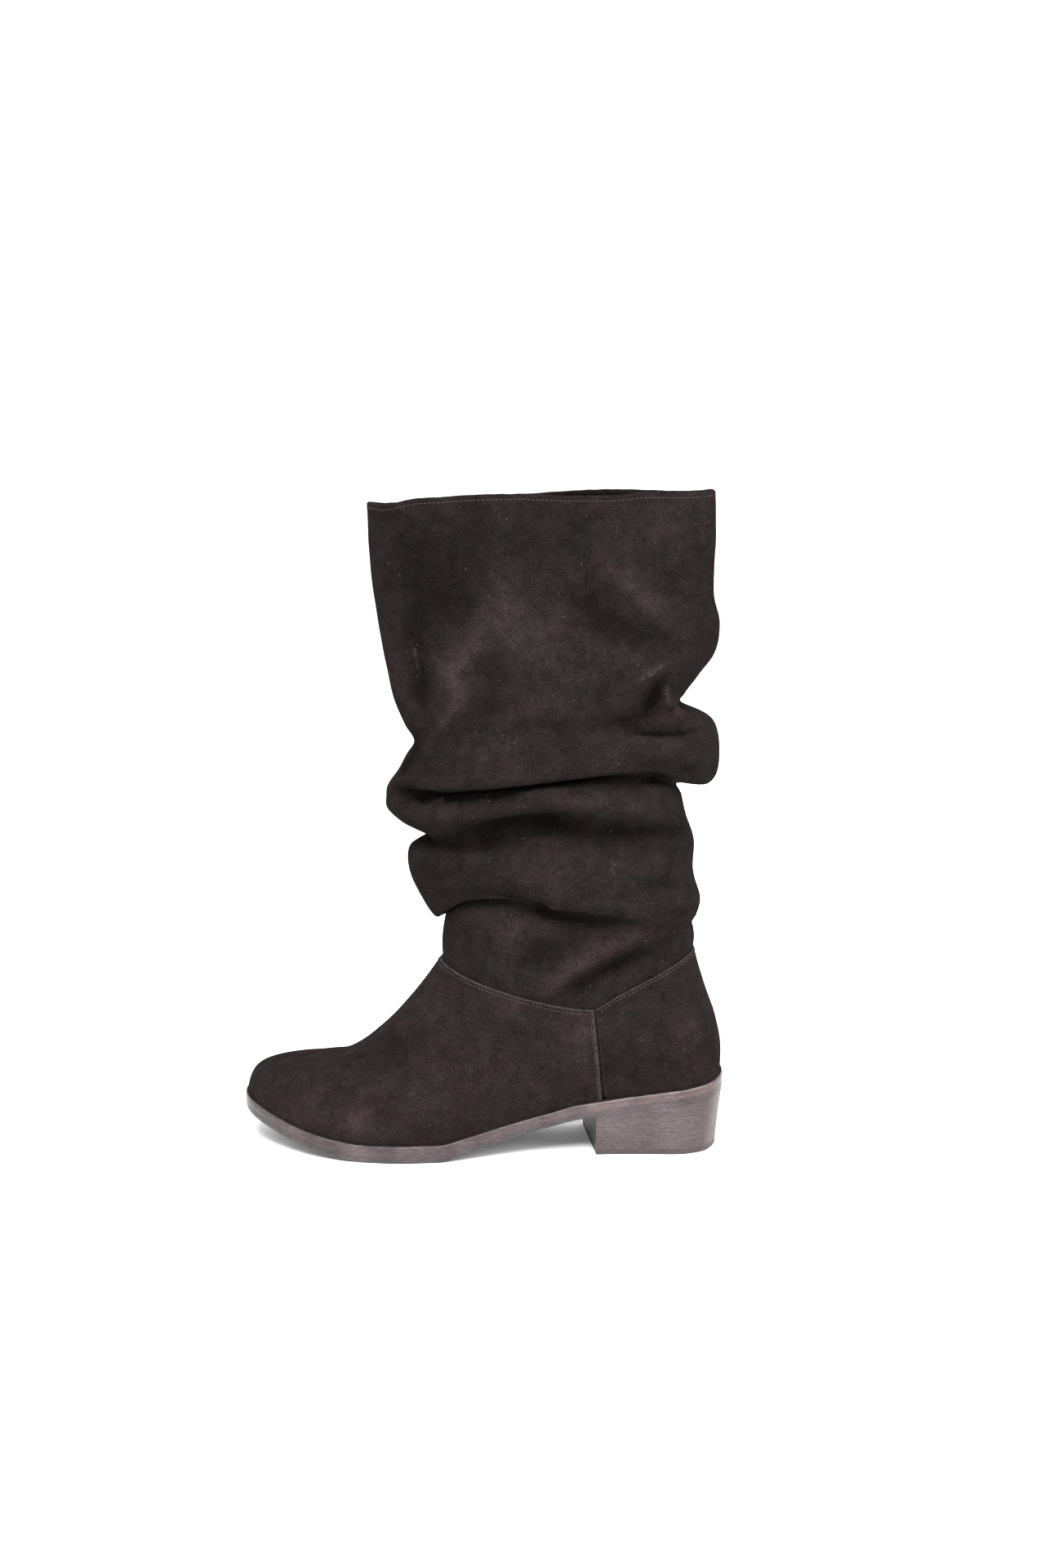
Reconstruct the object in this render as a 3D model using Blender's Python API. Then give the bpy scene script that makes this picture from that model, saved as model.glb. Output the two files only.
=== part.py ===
"""Slouch boot, left foot: a hollow suede upper with a folded shaft, vamp and heel counter
overlays, an insole, an outsole, a stacked heel block and its top lift.

Metres, +Z up. The floor is z = 0, the toe points to -X, the outer side of the foot faces -Y,
and the origin is the centre of the heel's resting face.
"""

import bpy
import numpy as np

# Sizes in metres, of a boot in size 38.
SOLE_LENGTH = 0.263
SOLE_BACK_X = 0.0365
BALL_WIDTH = 0.092
TOE_SWING = 0.010
SOLE_THICKNESS = 0.0084
HEEL_HEIGHT = 0.033
TOE_SPRING = 0.0175
BOOT_HEIGHT = 0.357
COLLAR_LENGTH = 0.183
SHAFT_AXIS_X = -0.064
ANKLE_WIDTH = 0.077
FOLD_DEPTH = 0.012
WALL = 0.0020
OVERLAY = 0.0011
LEDGE = 0.0013
INSOLE_THICKNESS = 0.0020
TOP_LIFT = 0.0030
HEEL_BOTTOM_WIDTH = 0.054
HEEL_BOTTOM_BACK_X = 0.0330
BREAST_X = -0.0335
BREAST_SKEW = 0.10
SOLE_BEVEL = 0.0012
GAP = 0.0003
SEAT_GAP = 0.00045

# Columns of the surface from front to back on each side, and the one that carries the side seam.
SIDE_COLUMNS = 20
SEAM_COLUMN = 11
ROWS_PER_FOLD = 2

# Plan of the sole. at: share of the way round one side, from toe to heel. centre: share of the
# toe swing, towards the inner side. half: share of the ball width.
SOLE_PLAN = (
    # at, centre, half
    (0.00, 1.00, 0.000),
    (0.05, 0.97, 0.140),
    (0.10, 0.90, 0.243),
    (0.15, 0.80, 0.338),
    (0.20, 0.66, 0.428),
    (0.25, 0.52, 0.485),
    (0.30, 0.34, 0.498),
    (0.35, 0.16, 0.465),
    (0.40, -0.02, 0.405),
    (0.50, -0.18, 0.328),
    (0.60, -0.05, 0.325),
    (0.70, 0.00, 0.338),
    (0.80, 0.00, 0.283),
    (0.90, 0.00, 0.152),
    (1.00, 0.00, 0.000),
)

# Height of the sole's underside. along: share of the sole length from the toe. spring: share of
# the toe spring. heel: share of the heel height. thick: share of the sole thickness.
SOLE_PROFILE = (
    # along, spring, heel, thick
    (0.00, 1.00, 0.000, 1.06),
    (0.06, 0.66, 0.000, 1.06),
    (0.12, 0.36, 0.000, 1.09),
    (0.19, 0.13, 0.000, 1.13),
    (0.27, 0.00, 0.000, 1.15),
    (0.41, 0.00, 0.000, 1.16),
    (0.46, 0.00, 0.100, 1.10),
    (0.52, 0.00, 0.260, 1.00),
    (0.58, 0.00, 0.400, 0.96),
    (0.64, 0.00, 0.520, 0.96),
    (0.695, 0.00, 0.634, 1.00),
    (0.705, 0.00, 0.646, 1.00),
    (0.85, 0.00, 0.820, 0.97),
    (1.00, 0.00, 1.000, 0.95),
)

# Key columns of the foot, as shares of the way round one side.
FOOT_KEYS = (0.0, 0.15, 0.30, 0.55, 1.0)

# The foot between the feather line and the top line of vamp and counter. run and rise: shares of
# the way in plan and in height. out: share of the fold depth, outwards.
FOOT_ROWS = (
    # toe run, rise, out; corner run, rise, out; ball run, rise, out; side run, rise, out;
    # heel run, rise, out
    ((0.000, 0.000, 0.0), (0.000, 0.000, 0.00), (0.000, 0.000, 0.00), (0.00, 0.000, 0.00),
     (0.000, 0.000, 0.0)),
    ((0.006, 0.062, 0.0), (-0.010, 0.100, 0.08), (-0.015, 0.100, 0.12), (0.10, 0.130, 0.12),
     (-0.030, 0.110, 0.0)),
    ((0.035, 0.133, 0.0), (0.012, 0.190, 0.04), (0.000, 0.205, 0.10), (0.22, 0.250, 0.18),
     (-0.030, 0.190, 0.0)),
    ((0.100, 0.179, 0.0), (0.085, 0.250, -0.10), (0.065, 0.307, -0.04), (0.33, 0.360, 0.21),
     (0.030, 0.290, 0.0)),
    ((0.207, 0.223, 0.0), (0.200, 0.287, -0.22), (0.155, 0.390, -0.16), (0.43, 0.460, 0.21),
     (0.130, 0.390, 0.0)),
    ((0.356, 0.259, 0.0), (0.345, 0.314, -0.28), (0.270, 0.462, -0.26), (0.53, 0.560, 0.18),
     (0.250, 0.487, 0.0)),
    ((0.515, 0.284, 0.0), (0.500, 0.364, -0.32), (0.410, 0.545, -0.30), (0.64, 0.660, 0.15),
     (0.420, 0.588, 0.0)),
    ((0.692, 0.464, 0.0), (0.668, 0.520, -0.29), (0.590, 0.668, -0.25), (0.75, 0.770, 0.10),
     (0.610, 0.697, 0.0)),
    ((0.851, 0.695, 0.0), (0.830, 0.745, -0.17), (0.790, 0.825, -0.12), (0.87, 0.885, 0.05),
     (0.815, 0.834, 0.0)),
)

# Heights of each fold line, as shares of the boot height, at eight places round the shaft.
FOLD_HEIGHTS = (
    # name, front, outer front, outer side, outer back, back, inner back, inner side, inner front
    ("ankle", 0.322, 0.312, 0.272, 0.305, 0.325, 0.305, 0.272, 0.312),
    ("lower top", 0.356, 0.380, 0.345, 0.330, 0.338, 0.335, 0.335, 0.338),
    ("third crease", 0.364, 0.404, 0.381, 0.354, 0.349, 0.352, 0.360, 0.355),
    ("low roll lip", 0.356, 0.402, 0.392, 0.368, 0.363, 0.364, 0.372, 0.356),
    ("low roll belly", 0.418, 0.442, 0.432, 0.402, 0.387, 0.395, 0.412, 0.398),
    ("low roll top", 0.464, 0.468, 0.490, 0.458, 0.428, 0.446, 0.472, 0.450),
    ("second crease", 0.486, 0.478, 0.527, 0.505, 0.476, 0.494, 0.516, 0.492),
    ("mid belly", 0.506, 0.513, 0.553, 0.552, 0.513, 0.532, 0.545, 0.515),
    ("shelf", 0.524, 0.547, 0.572, 0.577, 0.544, 0.560, 0.565, 0.535),
    ("slit", 0.543, 0.557, 0.579, 0.589, 0.563, 0.574, 0.577, 0.556),
    ("upper lip", 0.558, 0.571, 0.587, 0.600, 0.561, 0.584, 0.587, 0.572),
    ("fold belly", 0.579, 0.597, 0.613, 0.624, 0.594, 0.604, 0.609, 0.598),
    ("fold top", 0.602, 0.617, 0.636, 0.646, 0.656, 0.638, 0.634, 0.622),
    ("pocket", 0.626, 0.640, 0.655, 0.663, 0.683, 0.674, 0.658, 0.644),
    ("above pocket", 0.652, 0.668, 0.684, 0.690, 0.701, 0.698, 0.686, 0.668),
    ("upper crest", 0.690, 0.706, 0.722, 0.724, 0.727, 0.724, 0.716, 0.702),
    ("upper front", 0.740, 0.754, 0.766, 0.764, 0.762, 0.764, 0.764, 0.752),
    ("upper back", 0.798, 0.806, 0.814, 0.808, 0.804, 0.808, 0.814, 0.806),
    ("waist", 0.856, 0.860, 0.862, 0.856, 0.849, 0.856, 0.862, 0.860),
    ("hem", 0.920, 0.928, 0.930, 0.927, 0.920, 0.928, 0.930, 0.928),
    ("collar", 0.979, 0.988, 0.999, 1.000, 0.997, 0.996, 0.994, 0.984),
)

# Reach of each fold line. front, back: shares of the collar length from the shaft's axis.
# half: share of half the ankle width. The rest are insets, as shares of the fold depth.
FOLD_REACH = (
    # front, back, half, outer front, outer side, outer back, inner back, inner side, inner front
    (0.289, 0.458, 1.00, 0.00, 0.00, 0.00, 0.00, 0.00, 0.00),
    (0.280, 0.456, 1.02, 0.15, 0.05, 0.00, 0.05, 0.05, 0.10),
    (0.272, 0.452, 1.04, 0.62, 0.32, 0.15, 0.15, 0.25, 0.45),
    (0.313, 0.466, 1.07, -0.05, -0.05, 0.00, 0.00, -0.05, -0.05),
    (0.380, 0.474, 1.10, -0.12, -0.12, -0.08, -0.05, -0.10, -0.10),
    (0.385, 0.452, 1.11, 0.00, 0.00, 0.00, 0.00, 0.05, 0.00),
    (0.326, 0.453, 1.11, 0.62, 0.48, 0.32, 0.30, 0.45, 0.50),
    (0.407, 0.430, 1.13, 0.00, -0.05, 0.00, 0.00, 0.00, 0.00),
    (0.448, 0.416, 1.14, 0.05, 0.05, 0.10, 0.10, 0.05, 0.05),
    (0.451, 0.404, 1.14, 0.90, 0.95, 0.60, 0.50, 0.55, 0.40),
    (0.447, 0.492, 1.14, 0.05, -0.08, -0.05, 0.00, 0.00, 0.00),
    (0.419, 0.524, 1.14, -0.05, -0.20, -0.20, -0.15, -0.10, -0.10),
    (0.396, 0.507, 1.12, 0.05, 0.00, 0.00, 0.00, 0.05, 0.15),
    (0.370, 0.414, 1.09, 0.15, 0.10, 0.55, 0.75, 0.60, 0.60),
    (0.396, 0.422, 1.06, 0.05, -0.05, 0.30, 0.35, 0.10, 0.10),
    (0.426, 0.460, 1.02, -0.05, -0.08, 0.05, 0.05, -0.05, -0.05),
    (0.448, 0.507, 0.96, 0.00, 0.00, 0.00, 0.00, 0.00, 0.00),
    (0.468, 0.519, 0.88, 0.00, 0.00, 0.00, 0.00, 0.00, 0.00),
    (0.484, 0.501, 0.79, 0.00, 0.00, 0.05, 0.05, 0.00, 0.00),
    (0.494, 0.506, 0.68, 0.00, 0.00, 0.00, 0.00, 0.00, 0.00),
    (0.499, 0.501, 0.60, 0.00, 0.00, 0.00, 0.00, 0.00, 0.00),
)

# Top line of vamp and counter. at: share of the way round one side, from front to back.
TOP_LINE = (
    # at, height as a share of the boot height
    (0.00, 0.2920),
    (0.10, 0.2870),
    (0.20, 0.2760),
    (0.30, 0.2630),
    (0.40, 0.2490),
    (0.50, 0.2380),
    (0.55, 0.2355),
    (0.62, 0.2560),
    (0.70, 0.2750),
    (0.80, 0.2930),
    (0.90, 0.3040),
    (1.00, 0.3080),
)
TOP_FRONT = 0.295
TOP_BACK = 0.461


def clear_scene():
    for thing in list(bpy.data.objects):
        bpy.data.objects.remove(thing, do_unlink=True)


def through(keys, values, at):
    """A smooth curve through table values that never swings past them."""
    keys = np.asarray(keys, float)
    values = np.asarray(values, float)
    at = np.asarray(at, float)
    steps = np.diff(keys)
    slopes = np.diff(values) / steps
    both = slopes[:-1] + slopes[1:]
    steady = slopes[:-1] * slopes[1:] > 0
    tangents = np.zeros_like(values)
    tangents[1:-1] = np.where(
        steady, 2 * slopes[:-1] * slopes[1:] / np.where(steady, both, 1.0), 0.0
    )
    tangents[0] = slopes[0]
    tangents[-1] = slopes[-1]
    i = np.clip(np.searchsorted(keys, at, side="right") - 1, 0, len(steps) - 1)
    t = np.clip((at - keys[i]) / steps[i], 0.0, 1.0)
    start = values[i] * (2 * t**3 - 3 * t**2 + 1) + tangents[i] * steps[i] * (t**3 - 2 * t**2 + t)
    end = values[i + 1] * (3 * t**2 - 2 * t**3) + tangents[i + 1] * steps[i] * (t**3 - t**2)
    return start + end


def around(values, at):
    """A smooth closed curve through equally spaced values. at runs from 0 to 1 once round."""
    values = np.asarray(values, float)
    count = len(values)
    place = (np.asarray(at, float) % 1.0) * count
    i = np.floor(place).astype(int) % count
    t = place - np.floor(place)
    p0, p1 = values[i - 1], values[i]
    p2, p3 = values[(i + 1) % count], values[(i + 2) % count]
    return p1 + 0.5 * t * (
        p2 - p0 + t * (2 * p0 - 5 * p1 + 4 * p2 - p3 + t * (3 * (p1 - p2) + p3 - p0))
    )


def between(rows, parts):
    """Adds parts - 1 smooth rows between each pair of rows."""
    rows = np.asarray(rows, float)
    made = []
    for i in range(len(rows) - 1):
        p0, p1 = rows[max(i - 1, 0)], rows[i]
        p2, p3 = rows[i + 1], rows[min(i + 2, len(rows) - 1)]
        for step in range(parts):
            t = step / parts
            made.append(
                p1
                + 0.5
                * t
                * (p2 - p0 + t * (2 * p0 - 5 * p1 + 4 * p2 - p3 + t * (3 * (p1 - p2) + p3 - p0)))
            )
    made.append(rows[-1])
    return np.array(made)


def spread(at, shift):
    """Share of the length at a share of the way round one side."""
    return (1 - np.cos(np.pi * at)) / 2 + shift * np.sin(np.pi * at) ** 2


def columns():
    """For each column: share of the way round its side, the side (-1 outer, +1 inner), and the
    share once round from front over the outer side."""
    outer = np.arange(SIDE_COLUMNS + 1) / SIDE_COLUMNS
    inner = outer[-2:0:-1]
    at = np.concatenate([outer, inner])
    side = np.concatenate([-np.ones(len(outer)), np.ones(len(inner))])
    return at, side, np.where(side < 0, at / 2, 1 - at / 2)


def sole_plan(at, side, inset=0.0):
    """x and y of the sole's edge, or of a line that lies inset inside it."""
    table = np.array(SOLE_PLAN)

    def edge(where):
        x = SOLE_BACK_X - SOLE_LENGTH * (1 - spread(where, 0.165))
        centre = TOE_SWING * through(table[:, 0], table[:, 1], where)
        half = BALL_WIDTH * np.maximum(through(table[:, 0], table[:, 2], where), 0.0)
        return x, centre, half

    x, centre, half = edge(at)
    step = 0.004
    x2, _, half2 = edge(np.clip(at + step, 0, 1))
    x1, _, half1 = edge(np.clip(at - step, 0, 1))
    dx, dh = x2 - x1, half2 - half1
    length = np.hypot(dx, dh)
    flat_end = (at < 1e-9) | (at > 1 - 1e-9)
    nx = np.where(flat_end, np.where(at < 0.5, -1.0, 1.0), -dh / length)
    nh = np.where(flat_end, 0.0, dx / length)
    return x - inset * nx, centre + side * (half - inset * nh)


def sole_along(x):
    return (x - (SOLE_BACK_X - SOLE_LENGTH)) / SOLE_LENGTH


def sole_heights(x):
    """Underside and top of the sole at x."""
    table = np.array(SOLE_PROFILE)
    along = sole_along(x)
    spring = TOE_SPRING * through(table[:, 0], table[:, 1], along)
    heel = HEEL_HEIGHT * through(table[:, 0], table[:, 2], along)
    thick = SOLE_THICKNESS * through(table[:, 0], table[:, 3], along)
    return spring + heel, spring + heel + thick


def faceted(x, which):
    """Height of the sole's underside (0) or top (1) at x, on the flat strips between columns."""
    at, side, _ = columns()
    edge_x, _ = sole_plan(at[: SIDE_COLUMNS + 1], side[: SIDE_COLUMNS + 1])
    return np.interp(x, edge_x, sole_heights(edge_x)[which])


def top_line():
    """The line where vamp and counter end on the shaft."""
    at, side, _ = columns()
    front = SHAFT_AXIS_X - TOP_FRONT * COLLAR_LENGTH
    back = SHAFT_AXIS_X + TOP_BACK * COLLAR_LENGTH
    x = front + (back - front) * spread(at, 0.013)
    y = side * ANKLE_WIDTH / 2 * np.sin(np.pi * at) ** 0.85
    table = np.array(TOP_LINE)
    z = BOOT_HEIGHT * through(table[:, 0], table[:, 1], at)
    return np.stack([x, y, z], axis=1)


def foot_rows():
    """Rows of the foot from the feather line to just below the top line."""
    at, side, _ = columns()
    start_x, start_y = sole_plan(at, side, LEDGE)
    start = np.stack([start_x, start_y, faceted(start_x, 1) + SEAT_GAP], axis=1)
    end = top_line()
    rows = []
    for row in FOOT_ROWS:
        keys = np.array(row)
        run = through(FOOT_KEYS, keys[:, 0], at)
        rise = through(FOOT_KEYS, keys[:, 1], at)
        out = FOLD_DEPTH * through(FOOT_KEYS, keys[:, 2], at)
        points = start.copy()
        points[:, :2] += (end - start)[:, :2] * run[:, None]
        points[:, 1] += side * out * np.sin(np.pi * at) ** 0.5
        points[:, 2] += (end - start)[:, 2] * rise
        rows.append(points)
    return rows


def fold_rows():
    """Rows of the shaft, one for each fold line from the ankle to the collar."""
    at, side, once = columns()
    rows = []
    for heights, reach in zip(FOLD_HEIGHTS, FOLD_REACH):
        front = SHAFT_AXIS_X - reach[0] * COLLAR_LENGTH
        back = SHAFT_AXIS_X + reach[1] * COLLAR_LENGTH
        half = reach[2] * ANKLE_WIDTH / 2
        z = BOOT_HEIGHT * around(heights[1:], once)
        insets = (0.0, *reach[3:6], 0.0, *reach[6:9])
        inset = FOLD_DEPTH * around(insets, once) * np.sin(np.pi * at) ** 0.5
        x = front + (back - front) * spread(at, 0.013)
        y = side * half * np.sin(np.pi * at) ** 0.9
        nx = -np.cos(np.pi * at) * half
        ny = side * np.sin(np.pi * at) * (back - front) / 2
        length = np.hypot(nx, ny)
        rows.append(np.stack([x - inset * nx / length, y - inset * ny / length, z], axis=1))
    return rows


def normals(grid):
    """Outward unit normals of a grid of rows that close round."""
    along = np.gradient(grid, axis=0)
    ring = np.roll(grid, -1, axis=1) - np.roll(grid, 1, axis=1)
    cross = np.cross(ring, along)
    return cross / np.linalg.norm(cross, axis=2, keepdims=True)


def seat(grid):
    """Lays the first row of a grid just above the sole."""
    grid[0, :, 2] = faceted(grid[0, :, 0], 1) + SEAT_GAP
    return grid


def level_normals(grid):
    """Normals whose first row is level, so that what is moved along them stays on the sole."""
    out = normals(grid)
    out[0, :, 2] = 0
    out[0] /= np.linalg.norm(out[0], axis=1, keepdims=True)
    return out


def make_object(name, points, faces, material):
    mesh = bpy.data.meshes.new(name)
    mesh.from_pydata([tuple(p) for p in points], [], faces)
    mesh.update()
    mesh.materials.append(material)
    made = bpy.data.objects.new(name, mesh)
    bpy.context.scene.collection.objects.link(made)
    return made


def triangles(quads):
    made = []
    for a, b, c, d in quads:
        made.append((a, b, c))
        made.append((a, c, d))
    return made


def outward_faces(points, faces):
    """The same triangles, turned so that the solid's volume is positive."""
    p = np.asarray(points)
    f = np.asarray(faces)
    volume = np.einsum("ij,ij->i", p[f[:, 0]], np.cross(p[f[:, 1]], p[f[:, 2]])).sum()
    return faces if volume > 0 else [tuple(reversed(face)) for face in faces]


def shell(name, outer, inner, closed, material):
    """A wall between two grids of the same shape."""
    rows, count = outer.shape[:2]
    points = np.concatenate([outer.reshape(-1, 3), inner.reshape(-1, 3)])
    half = rows * count

    def at(layer, row, column):
        return layer * half + row * count + column % count

    quads = []
    for column in range(count if closed else count - 1):
        for row in range(rows - 1):
            for layer, order in ((0, (0, 1, 2, 3)), (1, (0, 3, 2, 1))):
                corners = (
                    at(layer, row, column),
                    at(layer, row, column + 1),
                    at(layer, row + 1, column + 1),
                    at(layer, row + 1, column),
                )
                quads.append([corners[i] for i in order])
        for row, order in ((0, -1), (rows - 1, 1)):
            corners = (
                at(0, row, column),
                at(0, row, column + 1),
                at(1, row, column + 1),
                at(1, row, column),
            )
            quads.append(corners[::order])
    if not closed:
        for column, order in ((0, 1), (count - 1, -1)):
            for row in range(rows - 1):
                corners = (
                    at(0, row, column),
                    at(0, row + 1, column),
                    at(1, row + 1, column),
                    at(1, row, column),
                )
                quads.append(corners[::order])
    faces = outward_faces(points, triangles(quads))
    return make_object(name, points, faces, material)


def stack(name, rings, material):
    """A solid of rings. Each ring runs down one side and back up the other, and the first and
    last are closed by strips from side to side."""
    count = len(rings[0])
    points = np.concatenate(rings)
    quads = []
    for level in range(len(rings) - 1):
        for i in range(count):
            j = (i + 1) % count
            low, high = level * count, (level + 1) * count
            quads.append((low + i, low + j, high + j, high + i))
    faces = triangles(quads)
    for base, order in ((0, -1), ((len(rings) - 1) * count, 1)):
        a, b = 0, count - 1
        while b - a > 1:
            strip = [(base + a, base + a + 1, base + b)]
            if b - a > 2:
                strip.append((base + a + 1, base + b - 1, base + b))
            faces += [corners[::order] for corners in strip]
            a += 1
            b -= 1
    return make_object(name, points, outward_faces(points, faces), material)


def sole_ring(inset, which, lift):
    at, side, _ = columns()
    x, y = sole_plan(at, side, inset)
    return np.stack([x, y, faceted(x, which) + lift], axis=1)


def from_toe(ring):
    """The ring, started so that strips join columns that lie opposite each other."""
    return np.roll(ring, -1, axis=0)


def build_outsole(material):
    rings = [
        sole_ring(SOLE_BEVEL, 0, 0.0),
        sole_ring(0.0, 0, SOLE_BEVEL),
        sole_ring(0.0, 1, 0.0),
    ]
    return stack("outsole", [from_toe(ring) for ring in rings], material)


def heel_ring(level):
    """Plan of the heel at a level from 0 at its resting face to 1 under the sole."""
    steps = 13
    outer_at = heel_start(-1) + (1 - heel_start(-1)) * np.arange(steps) / (steps - 1)
    inner_at = heel_start(1) + (1 - heel_start(1)) * np.arange(steps - 1) / (steps - 1)
    at = np.concatenate([outer_at, inner_at[::-1]])
    side = np.concatenate([-np.ones(steps), np.ones(steps - 1)])
    x, y = sole_plan(at, side)
    narrow = HEEL_BOTTOM_WIDTH / (0.676 * BALL_WIDTH)
    shorter = (HEEL_BOTTOM_BACK_X - BREAST_X) / (SOLE_BACK_X - BREAST_X)
    waist = 0.3 * level * (1 - level)
    share = level - waist
    x_low = BREAST_X + (x - BREAST_X) * shorter
    x_low = np.where(x < BREAST_X, x, x_low)
    return x_low + (x - x_low) * share, y * (narrow + (1 - narrow) * share)


def heel_start(side):
    """Where the heel breast meets the sole's edge, as a share of the way round a side."""
    at = np.linspace(0.4, 0.7, 301)
    x, y = sole_plan(at, side * np.ones_like(at))
    breast = BREAST_X - BREAST_SKEW * (y + BALL_WIDTH * 0.32)
    return at[np.argmin(abs(x - breast))]


def build_heel(material):
    rings = []
    for level in (TOP_LIFT / HEEL_HEIGHT, 0.5, 1.0):
        x, y = heel_ring(level)
        roof = faceted(x, 0) - GAP
        floor = np.full_like(x, TOP_LIFT + GAP)
        rings.append(np.stack([x, y, floor + (roof - floor) * heel_share(level)], axis=1))
    return stack("heel_block", rings, material)


def heel_share(level):
    low = TOP_LIFT / HEEL_HEIGHT
    return (level - low) / (1 - low)


def build_top_lift(material):
    rings = []
    for level, z in ((0.0, 0.0), (TOP_LIFT / HEEL_HEIGHT, TOP_LIFT)):
        x, y = heel_ring(level)
        rings.append(np.stack([x, y, np.full_like(x, z)], axis=1))
    return stack("top_lift", rings, material)


def build_insole(material):
    inset = LEDGE + OVERLAY + GAP + WALL + GAP
    rings = [
        sole_ring(inset, 1, 2 * GAP),
        sole_ring(inset, 1, 2 * GAP + INSOLE_THICKNESS),
    ]
    return stack("insole", [from_toe(ring) for ring in rings], material)


def part_way(grid, column, other, distance):
    """A column moved a distance towards its neighbour."""
    here, there = grid[:, column], grid[:, other]
    way = there - here
    return here + way * distance / np.linalg.norm(way, axis=1, keepdims=True)


def overlay(name, form, lower, first, last, material):
    """A layer between two grids of the foot, from one column to another."""
    picked = np.arange(first, last + 1) % form.shape[1]
    grids = []
    for grid in (form, lower):
        part = grid[:, picked].copy()
        part[:, 0] = part_way(grid, picked[0], picked[1], GAP)
        part[:, -1] = part_way(grid, picked[-1], picked[-2], GAP)
        grids.append(part)
    return shell(name, grids[0], grids[1], False, material)


def material(name, colour, roughness):
    made = bpy.data.materials.new(name)
    made.use_nodes = True
    shader = made.node_tree.nodes["Principled BSDF"]
    shader.inputs["Base Color"].default_value = (*colour, 1)
    shader.inputs["Roughness"].default_value = roughness
    return made


def main():
    clear_scene()
    foot = foot_rows()
    shaft = fold_rows()
    form = np.array(foot + [top_line()])
    out = level_normals(np.array(foot + [top_line(), shaft[0]]))[:-1]
    lower = seat(form - out * OVERLAY)
    sunk = seat(form - out * (OVERLAY + GAP))
    upper_outer = np.concatenate([sunk, between(np.array([sunk[-1]] + shaft), ROWS_PER_FOLD)[1:]])
    upper_inner = seat(upper_outer - level_normals(upper_outer) * WALL)
    shell("upper", upper_outer, upper_inner, True, material("suede", (0.035, 0.027, 0.026), 0.95))
    count = 2 * SIDE_COLUMNS
    overlay(
        "vamp",
        form,
        lower,
        -SEAM_COLUMN,
        SEAM_COLUMN,
        material("vamp_suede", (0.037, 0.029, 0.028), 0.95),
    )
    overlay(
        "heel_counter",
        form,
        lower,
        SEAM_COLUMN,
        count - SEAM_COLUMN,
        material("counter_suede", (0.033, 0.026, 0.025), 0.95),
    )
    build_insole(material("sock", (0.32, 0.24, 0.17), 0.8))
    build_outsole(material("sole_leather", (0.20, 0.165, 0.155), 0.5))
    build_heel(material("stacked_leather", (0.21, 0.17, 0.155), 0.45))
    build_top_lift(material("lift_rubber", (0.10, 0.085, 0.08), 0.7))


main()
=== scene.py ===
"""Slouch boot: the surfaces that show, in suede, lining, sole leather and thread.

Metres, +Z up. The floor is z = 0, the toe points to -X, the outer side of the foot faces -Y,
and the origin is the centre of the heel's resting face.
"""

from math import radians

import bpy
import numpy as np
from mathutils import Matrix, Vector, noise


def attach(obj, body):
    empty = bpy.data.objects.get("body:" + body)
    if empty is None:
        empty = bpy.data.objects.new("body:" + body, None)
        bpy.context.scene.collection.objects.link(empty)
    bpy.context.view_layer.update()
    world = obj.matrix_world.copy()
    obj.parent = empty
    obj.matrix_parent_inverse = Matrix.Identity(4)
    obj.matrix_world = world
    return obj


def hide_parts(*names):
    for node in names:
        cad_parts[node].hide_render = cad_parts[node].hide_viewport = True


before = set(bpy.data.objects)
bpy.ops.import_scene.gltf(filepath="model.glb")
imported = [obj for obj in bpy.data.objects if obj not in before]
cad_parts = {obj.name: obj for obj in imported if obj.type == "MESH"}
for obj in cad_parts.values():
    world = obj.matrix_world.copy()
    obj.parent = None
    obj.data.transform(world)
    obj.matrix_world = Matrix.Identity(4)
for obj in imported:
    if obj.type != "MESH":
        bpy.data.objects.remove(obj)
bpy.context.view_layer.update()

# Sizes in metres, of a boot in size 38. They match the solids. BREAST_SKEW is a slope.
SOLE_LENGTH = 0.263
SOLE_BACK_X = 0.0365
BALL_WIDTH = 0.092
TOE_SWING = 0.010
SOLE_THICKNESS = 0.0084
HEEL_HEIGHT = 0.033
TOE_SPRING = 0.0175
BOOT_HEIGHT = 0.357
COLLAR_LENGTH = 0.183
SHAFT_AXIS_X = -0.064
ANKLE_WIDTH = 0.077
FOLD_DEPTH = 0.012
WALL = 0.0020
OVERLAY = 0.0011
LEDGE = 0.0013
INSOLE_THICKNESS = 0.0020
TOP_LIFT = 0.0030
HEEL_BOTTOM_WIDTH = 0.054
HEEL_BOTTOM_BACK_X = 0.0330
BREAST_X = -0.0335
BREAST_SKEW = 0.10
GAP = 0.0003

# Shares and powers for the forms. The shifts draw the columns back. TUCK_END is a place between
# the first rows of the foot, and SEAM_FADE a share of the way round a side.
SOLE_SHIFT = 0.165
SHAFT_SHIFT = 0.013
TOP_ROUNDNESS = 0.85
SHAFT_ROUNDNESS = 0.9
TUCK_END = 0.22
BREAST_CENTRE = 0.32
HEEL_SEAT_SHARE = 0.676
HEEL_FLARE = 0.3
RAND_RISE = 0.6
STAY_BEVEL = 0.08
STAY_STITCH_RISE = 0.45
SEAM_FADE = 0.06

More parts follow.
